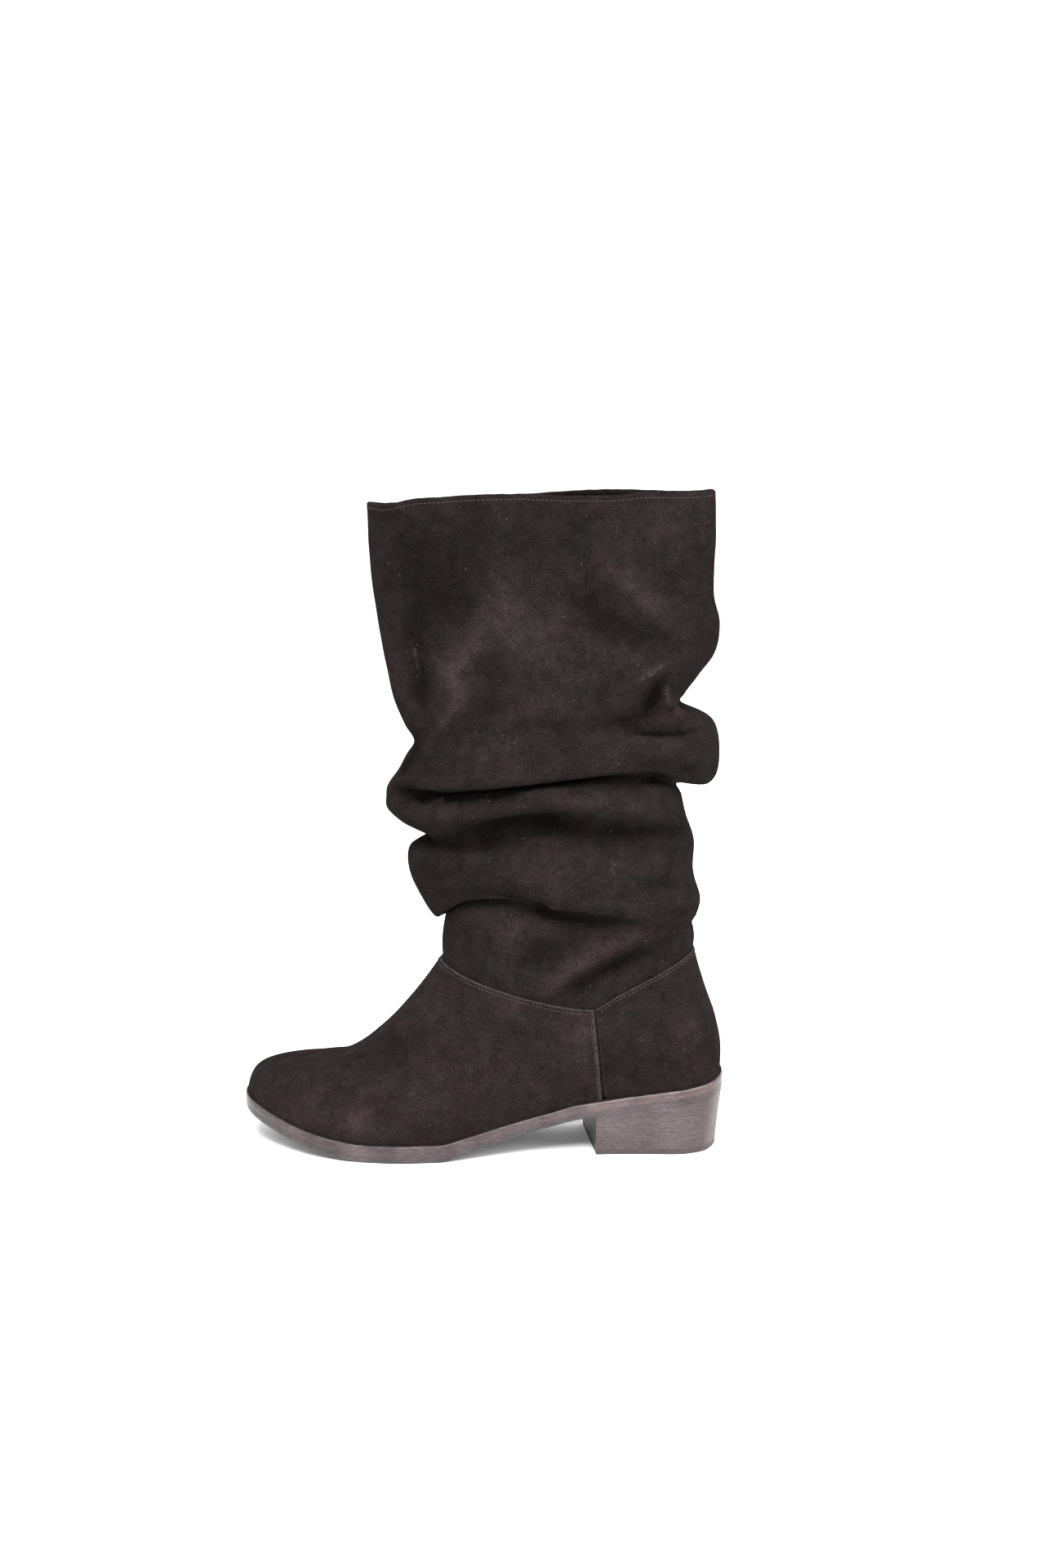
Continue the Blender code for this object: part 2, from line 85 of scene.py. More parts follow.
# Sizes of what only shows here, in metres.
RAW_EDGE = 0.00045
EDGE_ROLL = 0.00030
EDGE_ROLL_WIDTH = 0.0016
VAMP_STEP = 0.0006
TUCK = 0.0010
RAND_RADIUS = 0.00055
BACK_STAY_HALF = 0.0056
BACK_STAY_RISE = 0.0006
STITCH_LENGTH = 0.0017
STITCH_PITCH = 0.00235
THREAD_RADIUS = 0.00021
HEM_STITCH_DROP = 0.0019
VAMP_STITCH = 0.0020
COUNTER_STITCH = 0.0014
BACK_STITCH = 0.0012
CLEAR = 0.0001
RIM_RADIUS = WALL / 2 + CLEAR
FACING_DROP = 0.0012
FLOOR_SIZE = 8.0

# Soft unevenness. Each wave has a strength, a size in metres and a seed. The first three are
# lifts in metres. CUT_WAVE and RAND_WAVE are shares of what they vary.
SHAFT_WAVES = ((0.00050, 0.034, 3.0), (0.00022, 0.012, 9.0))
FOOT_WAVES = ((0.00035, 0.030, 5.0), (0.00015, 0.011, 1.0))
RIM_WAVE = (0.00022, 0.0042, 6.0)
CUT_WAVE = (0.9, 0.0026, 4.0)
RAND_WAVE = (0.6, 0.0022, 2.0)
FOOT_NAP_WAVE = (0.25, 0.026, 7.0)

# Arcs over edges: first and last angle in degrees, and the count of rows.
RIM_ARC = (20, 160, 8)
INNER_RIM_ARC = (200, 150, 5)
CUT_ARC = (30, 90, 3)

# Columns of the surfaces on each side from front to back, and where the side seam lies.
# EDGE_STEP is how far apart the sole's direction is read, BREAST_SEARCH where the corners of the
# heel breast are looked for, and SHARP_ANGLE the degrees from which an edge is shaded sharp.
SIDE_COLUMNS = 130
SEAM_AT = 0.55
SEAM_COLUMN = round(SIDE_COLUMNS * SEAM_AT)
HEEL_COLUMNS = 60
HEEL_LEVELS = 12
STAY_COLUMNS = 14
WALK_COLUMNS = 12
EDGE_STEP = 0.004
BREAST_SEARCH = np.linspace(0.4, 0.7, 301)
SHARP_ANGLE = 40

# Rows between two rows of a table, and the places of those beside the feather line. LAP_ROWS are
# the foot's rows below the top line that the shaft keeps close, BLEND_ROWS those over which its
# creases begin, and RAW_ROWS those of a cut edge. The last CLOSE_SPAN before the top line and
# before the collar has TOP_ROWS and HEM_ROWS rows, and COLLAR_SHORT is left to the rim.
FOLD_STEPS = 10
FOOT_STEPS = 12
FEATHER_PLACES = (0, 0.05, 0.10, 0.15, 0.20, 0.26, 0.34, 0.45, 0.60, 0.80)
LAP_ROWS = 8
BLEND_ROWS = 6
RAW_ROWS = 5
CLOSE_SPAN = 0.5
TOP_ROWS = 14
HEM_ROWS = 22
COLLAR_SHORT = 0.045
SIDE_SEAM_ROWS = slice(8, -4)

# Close columns beside the ends of an overlay: the columns that they stand for, and their
# distances from the cut edge in metres.
END_COLUMNS = 3
END_DISTANCES = np.array([0, 0.0002, 0.0004, 0.0007, 0.0010, 0.0013, 0.0016, 0.0020, 0.0028, 0.0040])

STITCH_PROFILE = (
    # share of the length, rise, radius
    (-0.50, -0.9, 0.55),
    (-0.36, 0.3, 0.95),
    (0.0, 0.7, 1.05),
    (0.36, 0.3, 0.95),
    (0.50, -0.9, 0.55),
)

# Creases are followed in PATH_STEPS steps between two points and fade over CREASE_TAPER of
# their length. CREASE_SHOULDER is what rises beside them. HIDDEN_COST keeps them on the flank
# that shows. CREASE_SHADING_REACH is the lift at which a trough gets its full painted shade and a ridge its
# full painted highlight.
PATH_STEPS = 24
CREASE_TAPER = 0.3
CREASE_SHOULDER = -0.22
HIDDEN_COST = 0.0004
CREASE_SHADING_REACH = 0.0060

WHITE = (1.0, 1.0, 1.0)
BLACK = (0.0, 0.0, 0.0)
LEATHER_SPECULAR = 0.27

# Camera at the photo's angle, and where the lamps point.
CAMERA_PLACE = (-0.0732, -1.300, 0.451)
CAMERA_DOWN = 10.94
CAMERA_LENS = 56.5
LIT_POINT = (-0.07, 0.0, 0.16)
WORLD_LIGHT = 1.45

# Plan of the sole. at: share of the way round one side, from toe to heel. centre: share of the
# toe swing, towards the inner side. half: share of the ball width.
SOLE_PLAN = (
    # at, centre, half
    (0.00, 1.00, 0.000),
    (0.05, 0.97, 0.140),
    (0.10, 0.90, 0.243),
    (0.15, 0.80, 0.338),
    (0.20, 0.66, 0.428),
    (0.25, 0.52, 0.485),
    (0.30, 0.34, 0.498),
    (0.35, 0.16, 0.465),
    (0.40, -0.02, 0.405),
    (0.50, -0.18, 0.328),
    (0.60, -0.05, 0.325),
    (0.70, 0.00, 0.338),
    (0.80, 0.00, 0.283),
    (0.90, 0.00, 0.152),
    (1.00, 0.00, 0.000),
)

# Height of the sole's underside. along: share of the sole length from the toe. spring: share of
# the toe spring. heel: share of the heel height. thick: share of the sole thickness.
SOLE_PROFILE = (
    # along, spring, heel, thick
    (0.00, 1.00, 0.000, 1.06),
    (0.06, 0.66, 0.000, 1.06),
    (0.12, 0.36, 0.000, 1.09),
    (0.19, 0.13, 0.000, 1.13),
    (0.27, 0.00, 0.000, 1.15),
    (0.41, 0.00, 0.000, 1.16),
    (0.46, 0.00, 0.100, 1.10),
    (0.52, 0.00, 0.260, 1.00),
    (0.58, 0.00, 0.400, 0.96),
    (0.64, 0.00, 0.520, 0.96),
    (0.695, 0.00, 0.634, 1.00),
    (0.705, 0.00, 0.646, 1.00),
    (0.85, 0.00, 0.820, 0.97),
    (1.00, 0.00, 1.000, 0.95),
)

# Rows of the foot at five places round a side: how far they run and rise towards the top line,
# and how far they stand out, as a share of the fold depth.
FOOT_KEYS = (0.0, 0.15, 0.30, 0.55, 1.0)

FOOT_ROWS = (
    # toe run, rise, out; corner run, rise, out; ball run, rise, out; side run, rise, out;
    # heel run, rise, out
    ((0.000, 0.000, 0.0), (0.000, 0.000, 0.00), (0.000, 0.000, 0.00), (0.00, 0.000, 0.00),
     (0.000, 0.000, 0.0)),
    ((0.006, 0.062, 0.0), (-0.010, 0.100, 0.08), (-0.015, 0.100, 0.12), (0.10, 0.130, 0.12),
     (-0.030, 0.110, 0.0)),
    ((0.035, 0.133, 0.0), (0.012, 0.190, 0.04), (0.000, 0.205, 0.10), (0.22, 0.250, 0.18),
     (-0.030, 0.190, 0.0)),
    ((0.100, 0.179, 0.0), (0.085, 0.250, -0.10), (0.065, 0.307, -0.04), (0.33, 0.360, 0.21),
     (0.030, 0.290, 0.0)),
    ((0.207, 0.223, 0.0), (0.200, 0.287, -0.22), (0.155, 0.390, -0.16), (0.43, 0.460, 0.21),
     (0.130, 0.390, 0.0)),
    ((0.356, 0.259, 0.0), (0.345, 0.314, -0.28), (0.270, 0.462, -0.26), (0.53, 0.560, 0.18),
     (0.250, 0.487, 0.0)),
    ((0.515, 0.284, 0.0), (0.500, 0.364, -0.32), (0.410, 0.545, -0.30), (0.64, 0.660, 0.15),
     (0.420, 0.588, 0.0)),
    ((0.692, 0.464, 0.0), (0.668, 0.520, -0.29), (0.590, 0.668, -0.25), (0.75, 0.770, 0.10),
     (0.610, 0.697, 0.0)),
    ((0.851, 0.695, 0.0), (0.830, 0.745, -0.17), (0.790, 0.825, -0.12), (0.87, 0.885, 0.05),
     (0.815, 0.834, 0.0)),
)

# Rows of the shaft from the ankle up: heights in thousandths of the boot height.
FOLD_HEIGHTS = (
    # name, front, outer front, outer side, outer back, back, inner back, inner side,
    # inner front
    ("ankle", 322, 312, 272, 305, 325, 305, 272, 312),
    ("lower top", 356, 380, 345, 330, 338, 335, 335, 338),
    ("third crease", 364, 404, 381, 354, 349, 352, 360, 355),
    ("low roll lip", 356, 402, 392, 368, 363, 364, 372, 356),
    ("low roll belly", 418, 442, 432, 402, 387, 395, 412, 398),
    ("low roll top", 464, 468, 490, 458, 428, 446, 472, 450),
    ("second crease", 486, 478, 527, 505, 476, 494, 516, 492),
    ("mid belly", 506, 513, 553, 552, 513, 532, 545, 515),
    ("shelf", 524, 547, 572, 577, 544, 560, 565, 535),
    ("slit", 543, 557, 579, 589, 563, 574, 577, 556),
    ("upper lip", 558, 571, 587, 600, 561, 584, 587, 572),
    ("fold belly", 579, 597, 613, 624, 594, 604, 609, 598),
    ("fold top", 602, 617, 636, 646, 656, 638, 634, 622),
    ("pocket", 626, 640, 655, 663, 683, 674, 658, 644),
    ("above pocket", 652, 668, 684, 690, 701, 698, 686, 668),
    ("upper crest", 690, 706, 722, 724, 727, 724, 716, 702),
    ("upper front", 740, 754, 766, 764, 762, 764, 764, 752),
    ("upper back", 798, 806, 814, 808, 804, 808, 814, 806),
    ("waist", 856, 860, 862, 856, 849, 856, 862, 860),
    ("hem", 920, 928, 930, 927, 920, 928, 930, 928),
    ("collar", 979, 988, 999, 1000, 997, 996, 994, 984),
)

# The same rows in plan: reach to front and back as shares of the collar length, half width as a
# share of the ankle's, and insets as shares of the fold depth.
FOLD_REACH = (
    # front, back, half, outer front, outer side, outer back, inner back, inner side, inner front
    (0.289, 0.458, 1.00, 0.00, 0.00, 0.00, 0.00, 0.00, 0.00),
    (0.280, 0.456, 1.02, 0.15, 0.05, 0.00, 0.05, 0.05, 0.10),
    (0.272, 0.452, 1.04, 0.62, 0.32, 0.15, 0.15, 0.25, 0.45),
    (0.313, 0.466, 1.07, -0.05, -0.05, 0.00, 0.00, -0.05, -0.05),
    (0.380, 0.474, 1.10, -0.12, -0.12, -0.08, -0.05, -0.10, -0.10),
    (0.385, 0.452, 1.11, 0.00, 0.00, 0.00, 0.00, 0.05, 0.00),
    (0.326, 0.453, 1.11, 0.62, 0.48, 0.32, 0.30, 0.45, 0.50),
    (0.407, 0.430, 1.13, 0.00, -0.05, 0.00, 0.00, 0.00, 0.00),
    (0.448, 0.416, 1.14, 0.05, 0.05, 0.10, 0.10, 0.05, 0.05),
    (0.451, 0.404, 1.14, 0.90, 0.95, 0.60, 0.50, 0.55, 0.40),
    (0.447, 0.492, 1.14, 0.05, -0.08, -0.05, 0.00, 0.00, 0.00),
    (0.419, 0.524, 1.14, -0.05, -0.20, -0.20, -0.15, -0.10, -0.10),
    (0.396, 0.507, 1.12, 0.05, 0.00, 0.00, 0.00, 0.05, 0.15),
    (0.370, 0.414, 1.09, 0.15, 0.10, 0.55, 0.75, 0.60, 0.60),
    (0.396, 0.422, 1.06, 0.05, -0.05, 0.30, 0.35, 0.10, 0.10),
    (0.426, 0.460, 1.02, -0.05, -0.08, 0.05, 0.05, -0.05, -0.05),
    (0.448, 0.507, 0.96, 0.00, 0.00, 0.00, 0.00, 0.00, 0.00),
    (0.468, 0.519, 0.88, 0.00, 0.00, 0.00, 0.00, 0.00, 0.00),
    (0.484, 0.501, 0.79, 0.00, 0.00, 0.05, 0.05, 0.00, 0.00),
    (0.494, 0.506, 0.68, 0.00, 0.00, 0.00, 0.00, 0.00, 0.00),
    (0.499, 0.501, 0.60, 0.00, 0.00, 0.00, 0.00, 0.00, 0.00),
)

TOP_LINE = (
    # at, height as a share of the boot height
    (0.00, 0.2920),
    (0.10, 0.2870),
    (0.20, 0.2760),
    (0.30, 0.2630),
    (0.40, 0.2490),
    (0.50, 0.2380),
    (0.55, 0.2355),
    (0.62, 0.2560),
    (0.70, 0.2750),
    (0.80, 0.2930),
    (0.90, 0.3040),
    (1.00, 0.3080),
)
TOP_FRONT = 0.295
TOP_BACK = 0.461

# Soft creases of the shaft. side: -1 outer, 1 inner. lift and width in metres: a
# ridge lifts, a trough sinks. Points: thousandths of the collar length from its front, and of
# the boot height.
CREASES = (
    # name, side, lift, width, points
    ("front ridge", -1, 0.0032, 0.0085,
     ((440, 925), (405, 875), (365, 815), (295, 772), (245, 740), (268, 710), (220, 670), (180, 640))),
    ("front hollow", -1, -0.0024, 0.008, ((130, 840), (140, 780), (155, 720), (145, 670))),
    ("hollow behind ridge", -1, -0.0016, 0.010, ((420, 740), (350, 700), (290, 650))),
    ("high hollow", -1, -0.0014, 0.014, ((500, 930), (460, 860), (500, 800))),
    ("high ridge", -1, 0.0017, 0.007, ((670, 910), (730, 880), (800, 848), (880, 812))),
    ("under high ridge", -1, -0.0020, 0.008, ((570, 890), (630, 848), (700, 814), (800, 794), (930, 786))),
    ("back ridge", -1, 0.0012, 0.009, ((600, 775), (700, 755), (790, 738), (870, 748))),
    ("under back ridge", -1, -0.0014, 0.008, ((660, 730), (740, 710), (810, 690))),
    ("dust line", -1, -0.0008, 0.0018, ((800, 748), (840, 752), (870, 762))),
    ("pocket hollow", -1, -0.0024, 0.0055, ((870, 745), (845, 715), (825, 690), (805, 668))),
    ("curl ridge", -1, 0.0020, 0.0036, ((872, 730), (864, 706), (885, 684), (930, 668))),
    ("pocket line", -1, -0.0026, 0.0042, ((720, 662), (800, 657), (880, 655), (970, 656))),
    ("over pocket", -1, 0.0022, 0.007, ((680, 690), (740, 702), (800, 712))),
    ("belly crease", -1, -0.0012, 0.005, ((300, 608), (430, 618), (550, 623))),
    ("belly crease back", -1, -0.0016, 0.006, ((580, 610), (710, 619), (850, 618))),
    ("belly hollow", -1, -0.0012, 0.008, ((360, 640), (500, 651), (630, 646))),
    ("lip end", -1, -0.0014, 0.004, ((880, 604), (940, 591))),
    ("slit mouth", -1, -0.0030, 0.0042, ((80, 558), (160, 553), (260, 553), (380, 558), (500, 568))),
    ("slit tail", -1, -0.0016, 0.0035, ((500, 568), (660, 576), (820, 582), (920, 588))),
    ("mid swell", -1, 0.0012, 0.009, ((120, 538), (270, 545), (440, 550))),
    ("second hollow", -1, -0.0034, 0.0080,
     ((190, 486), (280, 502), (380, 514), (510, 516), (610, 508), (700, 499), (830, 490), (950, 486))),
    ("second crease line", -1, -0.0016, 0.0032,
     ((300, 506), (400, 518), (520, 521), (620, 513), (730, 503))),
    ("over second hollow", -1, 0.0020, 0.0070, ((500, 552), (620, 550), (740, 542), (860, 532))),
    ("second crease branch", -1, -0.0016, 0.007, ((300, 490), (400, 488), (520, 476))),
    ("low swell", -1, 0.0008, 0.012, ((400, 445), (580, 450), (730, 436))),
    ("third hollow", -1, -0.0021, 0.0062,
     ((250, 416), (380, 407), (470, 394), (580, 379), (700, 366), (790, 356))),
    ("third crease line", -1, -0.0013, 0.0030,
     ((300, 414), (390, 406), (480, 393), (580, 378), (700, 365))),
    ("back roll crease", -1, -0.0018, 0.004, ((770, 425), (850, 430), (930, 415))),
    ("low back notch", -1, -0.0014, 0.003, ((870, 378), (940, 371))),
    ("ankle ridge", -1, 0.0028, 0.0058,
     ((480, 257), (520, 270), (600, 296), (680, 326), (780, 343), (900, 352))),
    ("under ankle ridge", -1, -0.0022, 0.0055,
     ((530, 255), (600, 274), (660, 291), (780, 319), (910, 340))),
    ("over ankle ridge", -1, -0.0020, 0.008, ((430, 285), (480, 317), (560, 340), (660, 354))),
    ("ankle front", -1, -0.0012, 0.009, ((250, 371), (320, 338), (380, 300))),
    ("ankle swell", -1, 0.0012, 0.012, ((330, 360), (440, 350), (500, 330))),
    ("inner front ridge", 1, 0.0026, 0.010, ((460, 890), (380, 810), (300, 740), (260, 680))),
    ("inner front hollow", 1, -0.0018, 0.009, ((160, 800), (190, 720), (210, 660))),
    ("inner middle hollow", 1, -0.0016, 0.012, ((480, 780), (420, 710), (360, 660))),
    ("inner back ridge", 1, 0.0022, 0.009, ((580, 820), (700, 760), (820, 740))),
    ("inner back hollow", 1, -0.0020, 0.008, ((640, 750), (730, 710), (820, 700))),
    ("inner pocket line", 1, -0.0034, 0.006, ((280, 652), (420, 660), (580, 670))),
    ("inner belly crease", 1, -0.0014, 0.006, ((360, 605), (540, 612), (720, 607))),
    ("inner slit", 1, -0.0030, 0.0045, ((140, 558), (300, 563), (480, 572), (640, 575), (800, 574))),
    ("inner second hollow", 1, -0.0036, 0.009,
     ((200, 490), (340, 503), (500, 514), (660, 510), (840, 496))),
    ("inner second line", 1, -0.0015, 0.0035, ((240, 492), (360, 504), (500, 514), (640, 511), (780, 501))),
    ("inner low crease", 1, -0.0014, 0.006, ((340, 452), (460, 440), (600, 437))),
    ("inner third hollow", 1, -0.0026, 0.007, ((220, 364), (340, 362), (500, 360), (660, 356), (800, 353))),
    ("inner ankle ridge", 1, 0.0024, 0.0065, ((460, 258), (580, 290), (740, 318))),
    ("inner ankle hollow", 1, -0.0018, 0.007, ((400, 304), (540, 330), (680, 340))),
)

# Waves of the collar's edge. along: share of the collar length from its front. outer, inner:
# lift in metres on each side.
COLLAR_WAVE = (
    # along, outer, inner
    (0.00, 0.0010, 0.0010),
    (0.02, 0.0004, 0.0002),
    (0.055, -0.0013, -0.0010),
    (0.10, -0.0002, -0.0012),
    (0.15, 0.0010, -0.0014),
    (0.30, 0.0011, -0.0016),
    (0.45, 0.0003, -0.0012),
    (0.58, -0.0013, -0.0004),
    (0.70, -0.0016, 0.0004),
    (0.80, 0.0001, 0.0002),
    (0.90, -0.0002, -0.0002),
    (0.965, 0.0004, 0.0004),
    (1.00, 0.0014, 0.0014),
)

# The waves fade with COLLAR_WAVE_DROP metres below the edge. FACING_ROWS rows of the inside, from
# the rim down, are turned suede.
COLLAR_WAVE_DROP = 0.018
FACING_ROWS = 11

# Lines of a different tone on the shaft, width in metres: 1 is pale dust on a worn wrinkle, -1 is
# painted shade down in a fold, where little light gets in.
TONE_LINES = (
    # name, side, tone, width, points
    ("slit dark", -1, -1.25, 0.0030,
     ((20, 566), (90, 562), (160, 560), (230, 560.5), (300, 563), (380, 568.5), (460, 575), (560, 583))),
    ("slit tail dark", -1, -0.8, 0.0014,
     ((360, 567), (460, 576), (560, 584), (660, 590), (780, 594), (900, 597))),
    ("lip end dark", -1, -0.5, 0.0040, ((810, 585), (850, 577), (890, 570))),
    ("pocket dark", -1, -0.75, 0.0016, ((760, 658), (820, 656), (890, 655), (980, 656))),
    ("second dark", -1, -0.22, 0.0040,
     ((220, 489), (300, 506), (390, 516), (540, 520), (660, 514), (780, 507), (900, 502), (980, 500))),
    ("third dark", -1, -0.20, 0.0022,
     ((200, 402), (250, 416), (380, 407), (470, 394), (580, 378.5), (700, 366), (800, 354))),
    ("inner slit dark", 1, -0.8, 0.0022, ((160, 558), (300, 563), (480, 572), (640, 575), (800, 574))),
    ("inner second dark", 1, -0.5, 0.0028, ((260, 494), (400, 507), (540, 514), (700, 508))),
    ("back wrinkle", -1, 1.0, 0.0007, ((775, 730), (810, 740), (860, 753))),
    ("curl wrinkle", -1, 0.8, 0.0006, ((868, 722), (862, 706), (872, 690))),
    ("front scuff", -1, 0.45, 0.0006, ((125, 790), (135, 765), (150, 735))),
    ("inner wrinkle", 1, 1.0, 0.0006, ((300, 668), (380, 676), (460, 682))),
)

# Where the shaft is made lighter or darker, given as the creases are: painted highlights on ridges
# and lit planes, painted shade on facets and hollows turned from the light, and the suede's pile
# brushed lighter or darker.
NAP_AND_SHADING_STROKES = (
    # name, side, strength, width, points
    ("front dark", -1, -0.40, 0.013, ((60, 1200), (80, 980), (110, 900), (130, 820), (150, 740))),
    ("front dark middle", -1, -0.40, 0.013, ((200, 1200), (190, 980), (180, 900), (180, 830), (170, 770))),
    ("front dark high", -1, -0.45, 0.014, ((340, 1200), (320, 980), (290, 910), (250, 850), (210, 790))),
    ("front dark low", -1, -0.45, 0.007, ((160, 760), (155, 720), (140, 690))),
    ("top light back", -1, 0.30, 0.012, ((800, 1100), (850, 970), (910, 930))),
    ("front facet", -1, -1.0, 0.0075, ((80, 572), (105, 595), (130, 620), (150, 652))),
    ("second back dark", -1, -0.55, 0.0050, ((660, 514), (760, 508), (870, 503), (980, 500))),
    ("top spot", -1, -0.40, 0.009, ((560, 965), (600, 962), (650, 955))),
    ("top dark", -1, -0.40, 0.013, ((400, 965), (500, 945), (600, 920), (720, 940))),
    ("ridge light", -1, 0.75, 0.0028,
     ((375, 820), (305, 770), (250, 738), (275, 708), (225, 668), (182, 640), (180, 610))),
    ("plane light", -1, 0.30, 0.016, ((450, 910), (460, 850), (450, 800), (420, 760))),
    ("plane light back", -1, 0.30, 0.016, ((380, 800), (480, 790), (600, 785))),
    ("high ridge light", -1, 0.55, 0.0055, ((710, 888), (790, 850), (880, 812))),
    ("high hollow dark", -1, -0.35, 0.010, ((580, 875), (650, 832), (770, 798), (930, 786))),
    ("belly light", -1, 0.35, 0.0065, ((300, 615), (360, 612), (430, 610))),
    ("belly light back", -1, 0.20, 0.010, ((600, 625), (750, 630), (900, 625))),
    ("pocket triangle", -1, -0.75, 0.0055, ((860, 745), (842, 715), (822, 690), (800, 665))),
    ("pocket soft", -1, -0.35, 0.0045, ((640, 666), (720, 668), (800, 662))),
    ("curl light", -1, 0.85, 0.0022, ((872, 730), (862, 706), (880, 684), (920, 668))),
    ("wrinkle light", -1, 0.6, 0.0020, ((765, 727), (800, 738), (850, 750))),
    ("mid light", -1, 0.25, 0.008, ((400, 545), (550, 553), (700, 555))),
    ("low light", -1, 0.25, 0.011, ((680, 475), (780, 470), (880, 468))),
    ("low light end", -1, 0.35, 0.006, ((740, 400), (780, 392), (820, 388))),
    ("ankle light", -1, 0.45, 0.0065, ((270, 392), (300, 378), (330, 366))),
    ("ankle light middle", -1, 0.35, 0.0060, ((400, 372), (430, 364), (460, 360))),
    ("ankle dark", -1, -0.35, 0.0070, ((440, 325), (490, 318), (540, 312))),
    ("ankle ridge light", -1, 0.60, 0.0032, ((490, 258), (540, 278), (610, 302), (690, 330), (780, 344))),
    ("ankle ridge dark", -1, -0.55, 0.0040, ((530, 257), (600, 276), (660, 291), (780, 319), (920, 343))),
    ("inner ridge light", 1, 0.5, 0.004, ((400, 830), (340, 770), (290, 700))),
    ("inner plane light", 1, 0.3, 0.016, ((480, 870), (550, 820), (660, 790))),
    ("inner front dark", 1, -0.45, 0.014, ((100, 950), (140, 860), (170, 760))),
    ("inner belly light", 1, 0.3, 0.008, ((320, 620), (480, 630), (620, 628))),
    ("inner low light", 1, 0.3, 0.010, ((400, 450), (550, 460), (700, 450))),
    ("inner ankle light", 1, 0.4, 0.006, ((340, 335), (480, 322), (600, 305))),
)

# Lighter and darker patches of the foot, metres.
FOOT_PATCHES = (
    # name, centre, strength, width
    ("beside seam", (-0.0430, -0.035, 0.074), 0.8, 0.010),
    ("beside seam low", (-0.0430, -0.036, 0.056), 0.5, 0.009),
    ("toe scuff", (-0.162, -0.043, 0.022), 1.2, 0.008),
    ("toe side", (-0.190, -0.030, 0.022), 0.3, 0.012),
    ("instep dark", (-0.130, -0.022, 0.058), -0.35, 0.014),
    ("counter dark", (-0.030, -0.032, 0.056), -0.4, 0.011),
    ("counter light", (0.012, -0.026, 0.074), 0.5, 0.009),
    ("counter low", (-0.020, -0.034, 0.042), 0.35, 0.008),
    ("inner beside seam", (-0.056, 0.036, 0.058), 0.5, 0.010),
    ("inner ball", (-0.140, 0.044, 0.024), 0.4, 0.010),
)

# Section of the outsole's edge from its top to its underside. share: share of the thickness
# from the top. inset, drop: metres. tone: 0 ledge, 1 upper layer, 2 lower layer, for the band
# that starts there.
SOLE_EDGE = (
    # inset, share, drop, tone
    (0.0060, 0.0, 0.0000, 0),
    (0.0010, 0.0, 0.0000, 0),
    (0.0004, 0.0, 0.0001, 0),
    (0.0001, 0.0, 0.0004, 0),
    (0.0000, 0.0, 0.0010, 1),
    (-0.0001, 0.30, 0.0, 1),
    (0.0000, 0.575, 0.0, 1),
    (0.0001, 0.585, 0.0, 2),
    (0.0000, 0.595, 0.0, 2),
    (0.0000, 1.0, -0.0012, 2),
    (0.0002, 1.0, -0.0006, 2),
    (0.0006, 1.0, -0.0002, 2),
    (0.0014, 1.0, 0.0000, 2),
)

# Rounding of the sock lining's top edge: inset and drop in metres.
SOCK_EDGE = ((0.0006, 0.0), (0.0001, 0.0004), (0.0, 0.0009))


def through(keys, values, at):
    """A smooth curve through table values that never swings past them."""
    keys, values, at = (np.asarray(given, float) for given in (keys, values, at))
    steps = np.diff(keys)
    slopes = np.diff(values) / steps
    both = slopes[:-1] + slopes[1:]
    steady = slopes[:-1] * slopes[1:] > 0
    middle = 2 * slopes[:-1] * slopes[1:] / np.where(steady, both, 1.0)
    tangents = np.concatenate([slopes[:1], np.where(steady, middle, 0.0), slopes[-1:]])
    i = np.clip(np.searchsorted(keys, at, side="right") - 1, 0, len(steps) - 1)
    t = np.clip((at - keys[i]) / steps[i], 0.0, 1.0)
    start = values[i] * (2 * t**3 - 3 * t**2 + 1) + tangents[i] * steps[i] * (t**3 - 2 * t**2 + t)
    end = values[i + 1] * (3 * t**2 - 2 * t**3) + tangents[i + 1] * steps[i] * (t**3 - t**2)
    return start + end


def bent(p0, p1, p2, p3, t):
    """The point at t from p1 to p2 on a smooth curve through all four."""
    bend = 2 * p0 - 5 * p1 + 4 * p2 - p3 + t * (3 * (p1 - p2) + p3 - p0)
    return p1 + 0.5 * t * (p2 - p0 + t * bend)


def around(values, at):
    """A smooth closed curve through equally spaced values. at runs from 0 to 1 once round."""
    values = np.asarray(values, float)
    count = len(values)
    place = (at % 1.0) * count
    low = np.floor(place)
    i = low.astype(int) % count
    after = (i + 1) % count
    return bent(values[i - 1], values[i], values[after], values[(i + 2) % count], place - low)


def rows_at(rows, places):
    """Smooth rows at places between the given rows, 0 being the first."""
    rows = np.asarray(rows, float)
    last = len(rows) - 1
    made = []
    for place in places:
        i = min(int(place), last - 1)
        made.append(bent(rows[max(i - 1, 0)], rows[i], rows[i + 1], rows[min(i + 2, last)], place - i))
    return np.array(made)


def spread(at, shift):
    """Share of the length at a share of the way round one side. shift draws the columns back."""
    return (1 - np.cos(np.pi * at)) / 2 + shift * np.sin(np.pi * at) ** 2


def columns():
    """For each column: share of the way round its side, the side (-1 outer, +1 inner), and the
    share once round from front over the outer side."""
    outer = np.arange(SIDE_COLUMNS + 1) / SIDE_COLUMNS
    inner = outer[-2:0:-1]
    at = np.concatenate([outer, inner])
    side = np.concatenate([-np.ones(len(outer)), np.ones(len(inner))])
    return at, side, np.where(side < 0, at / 2, 1 - at / 2)


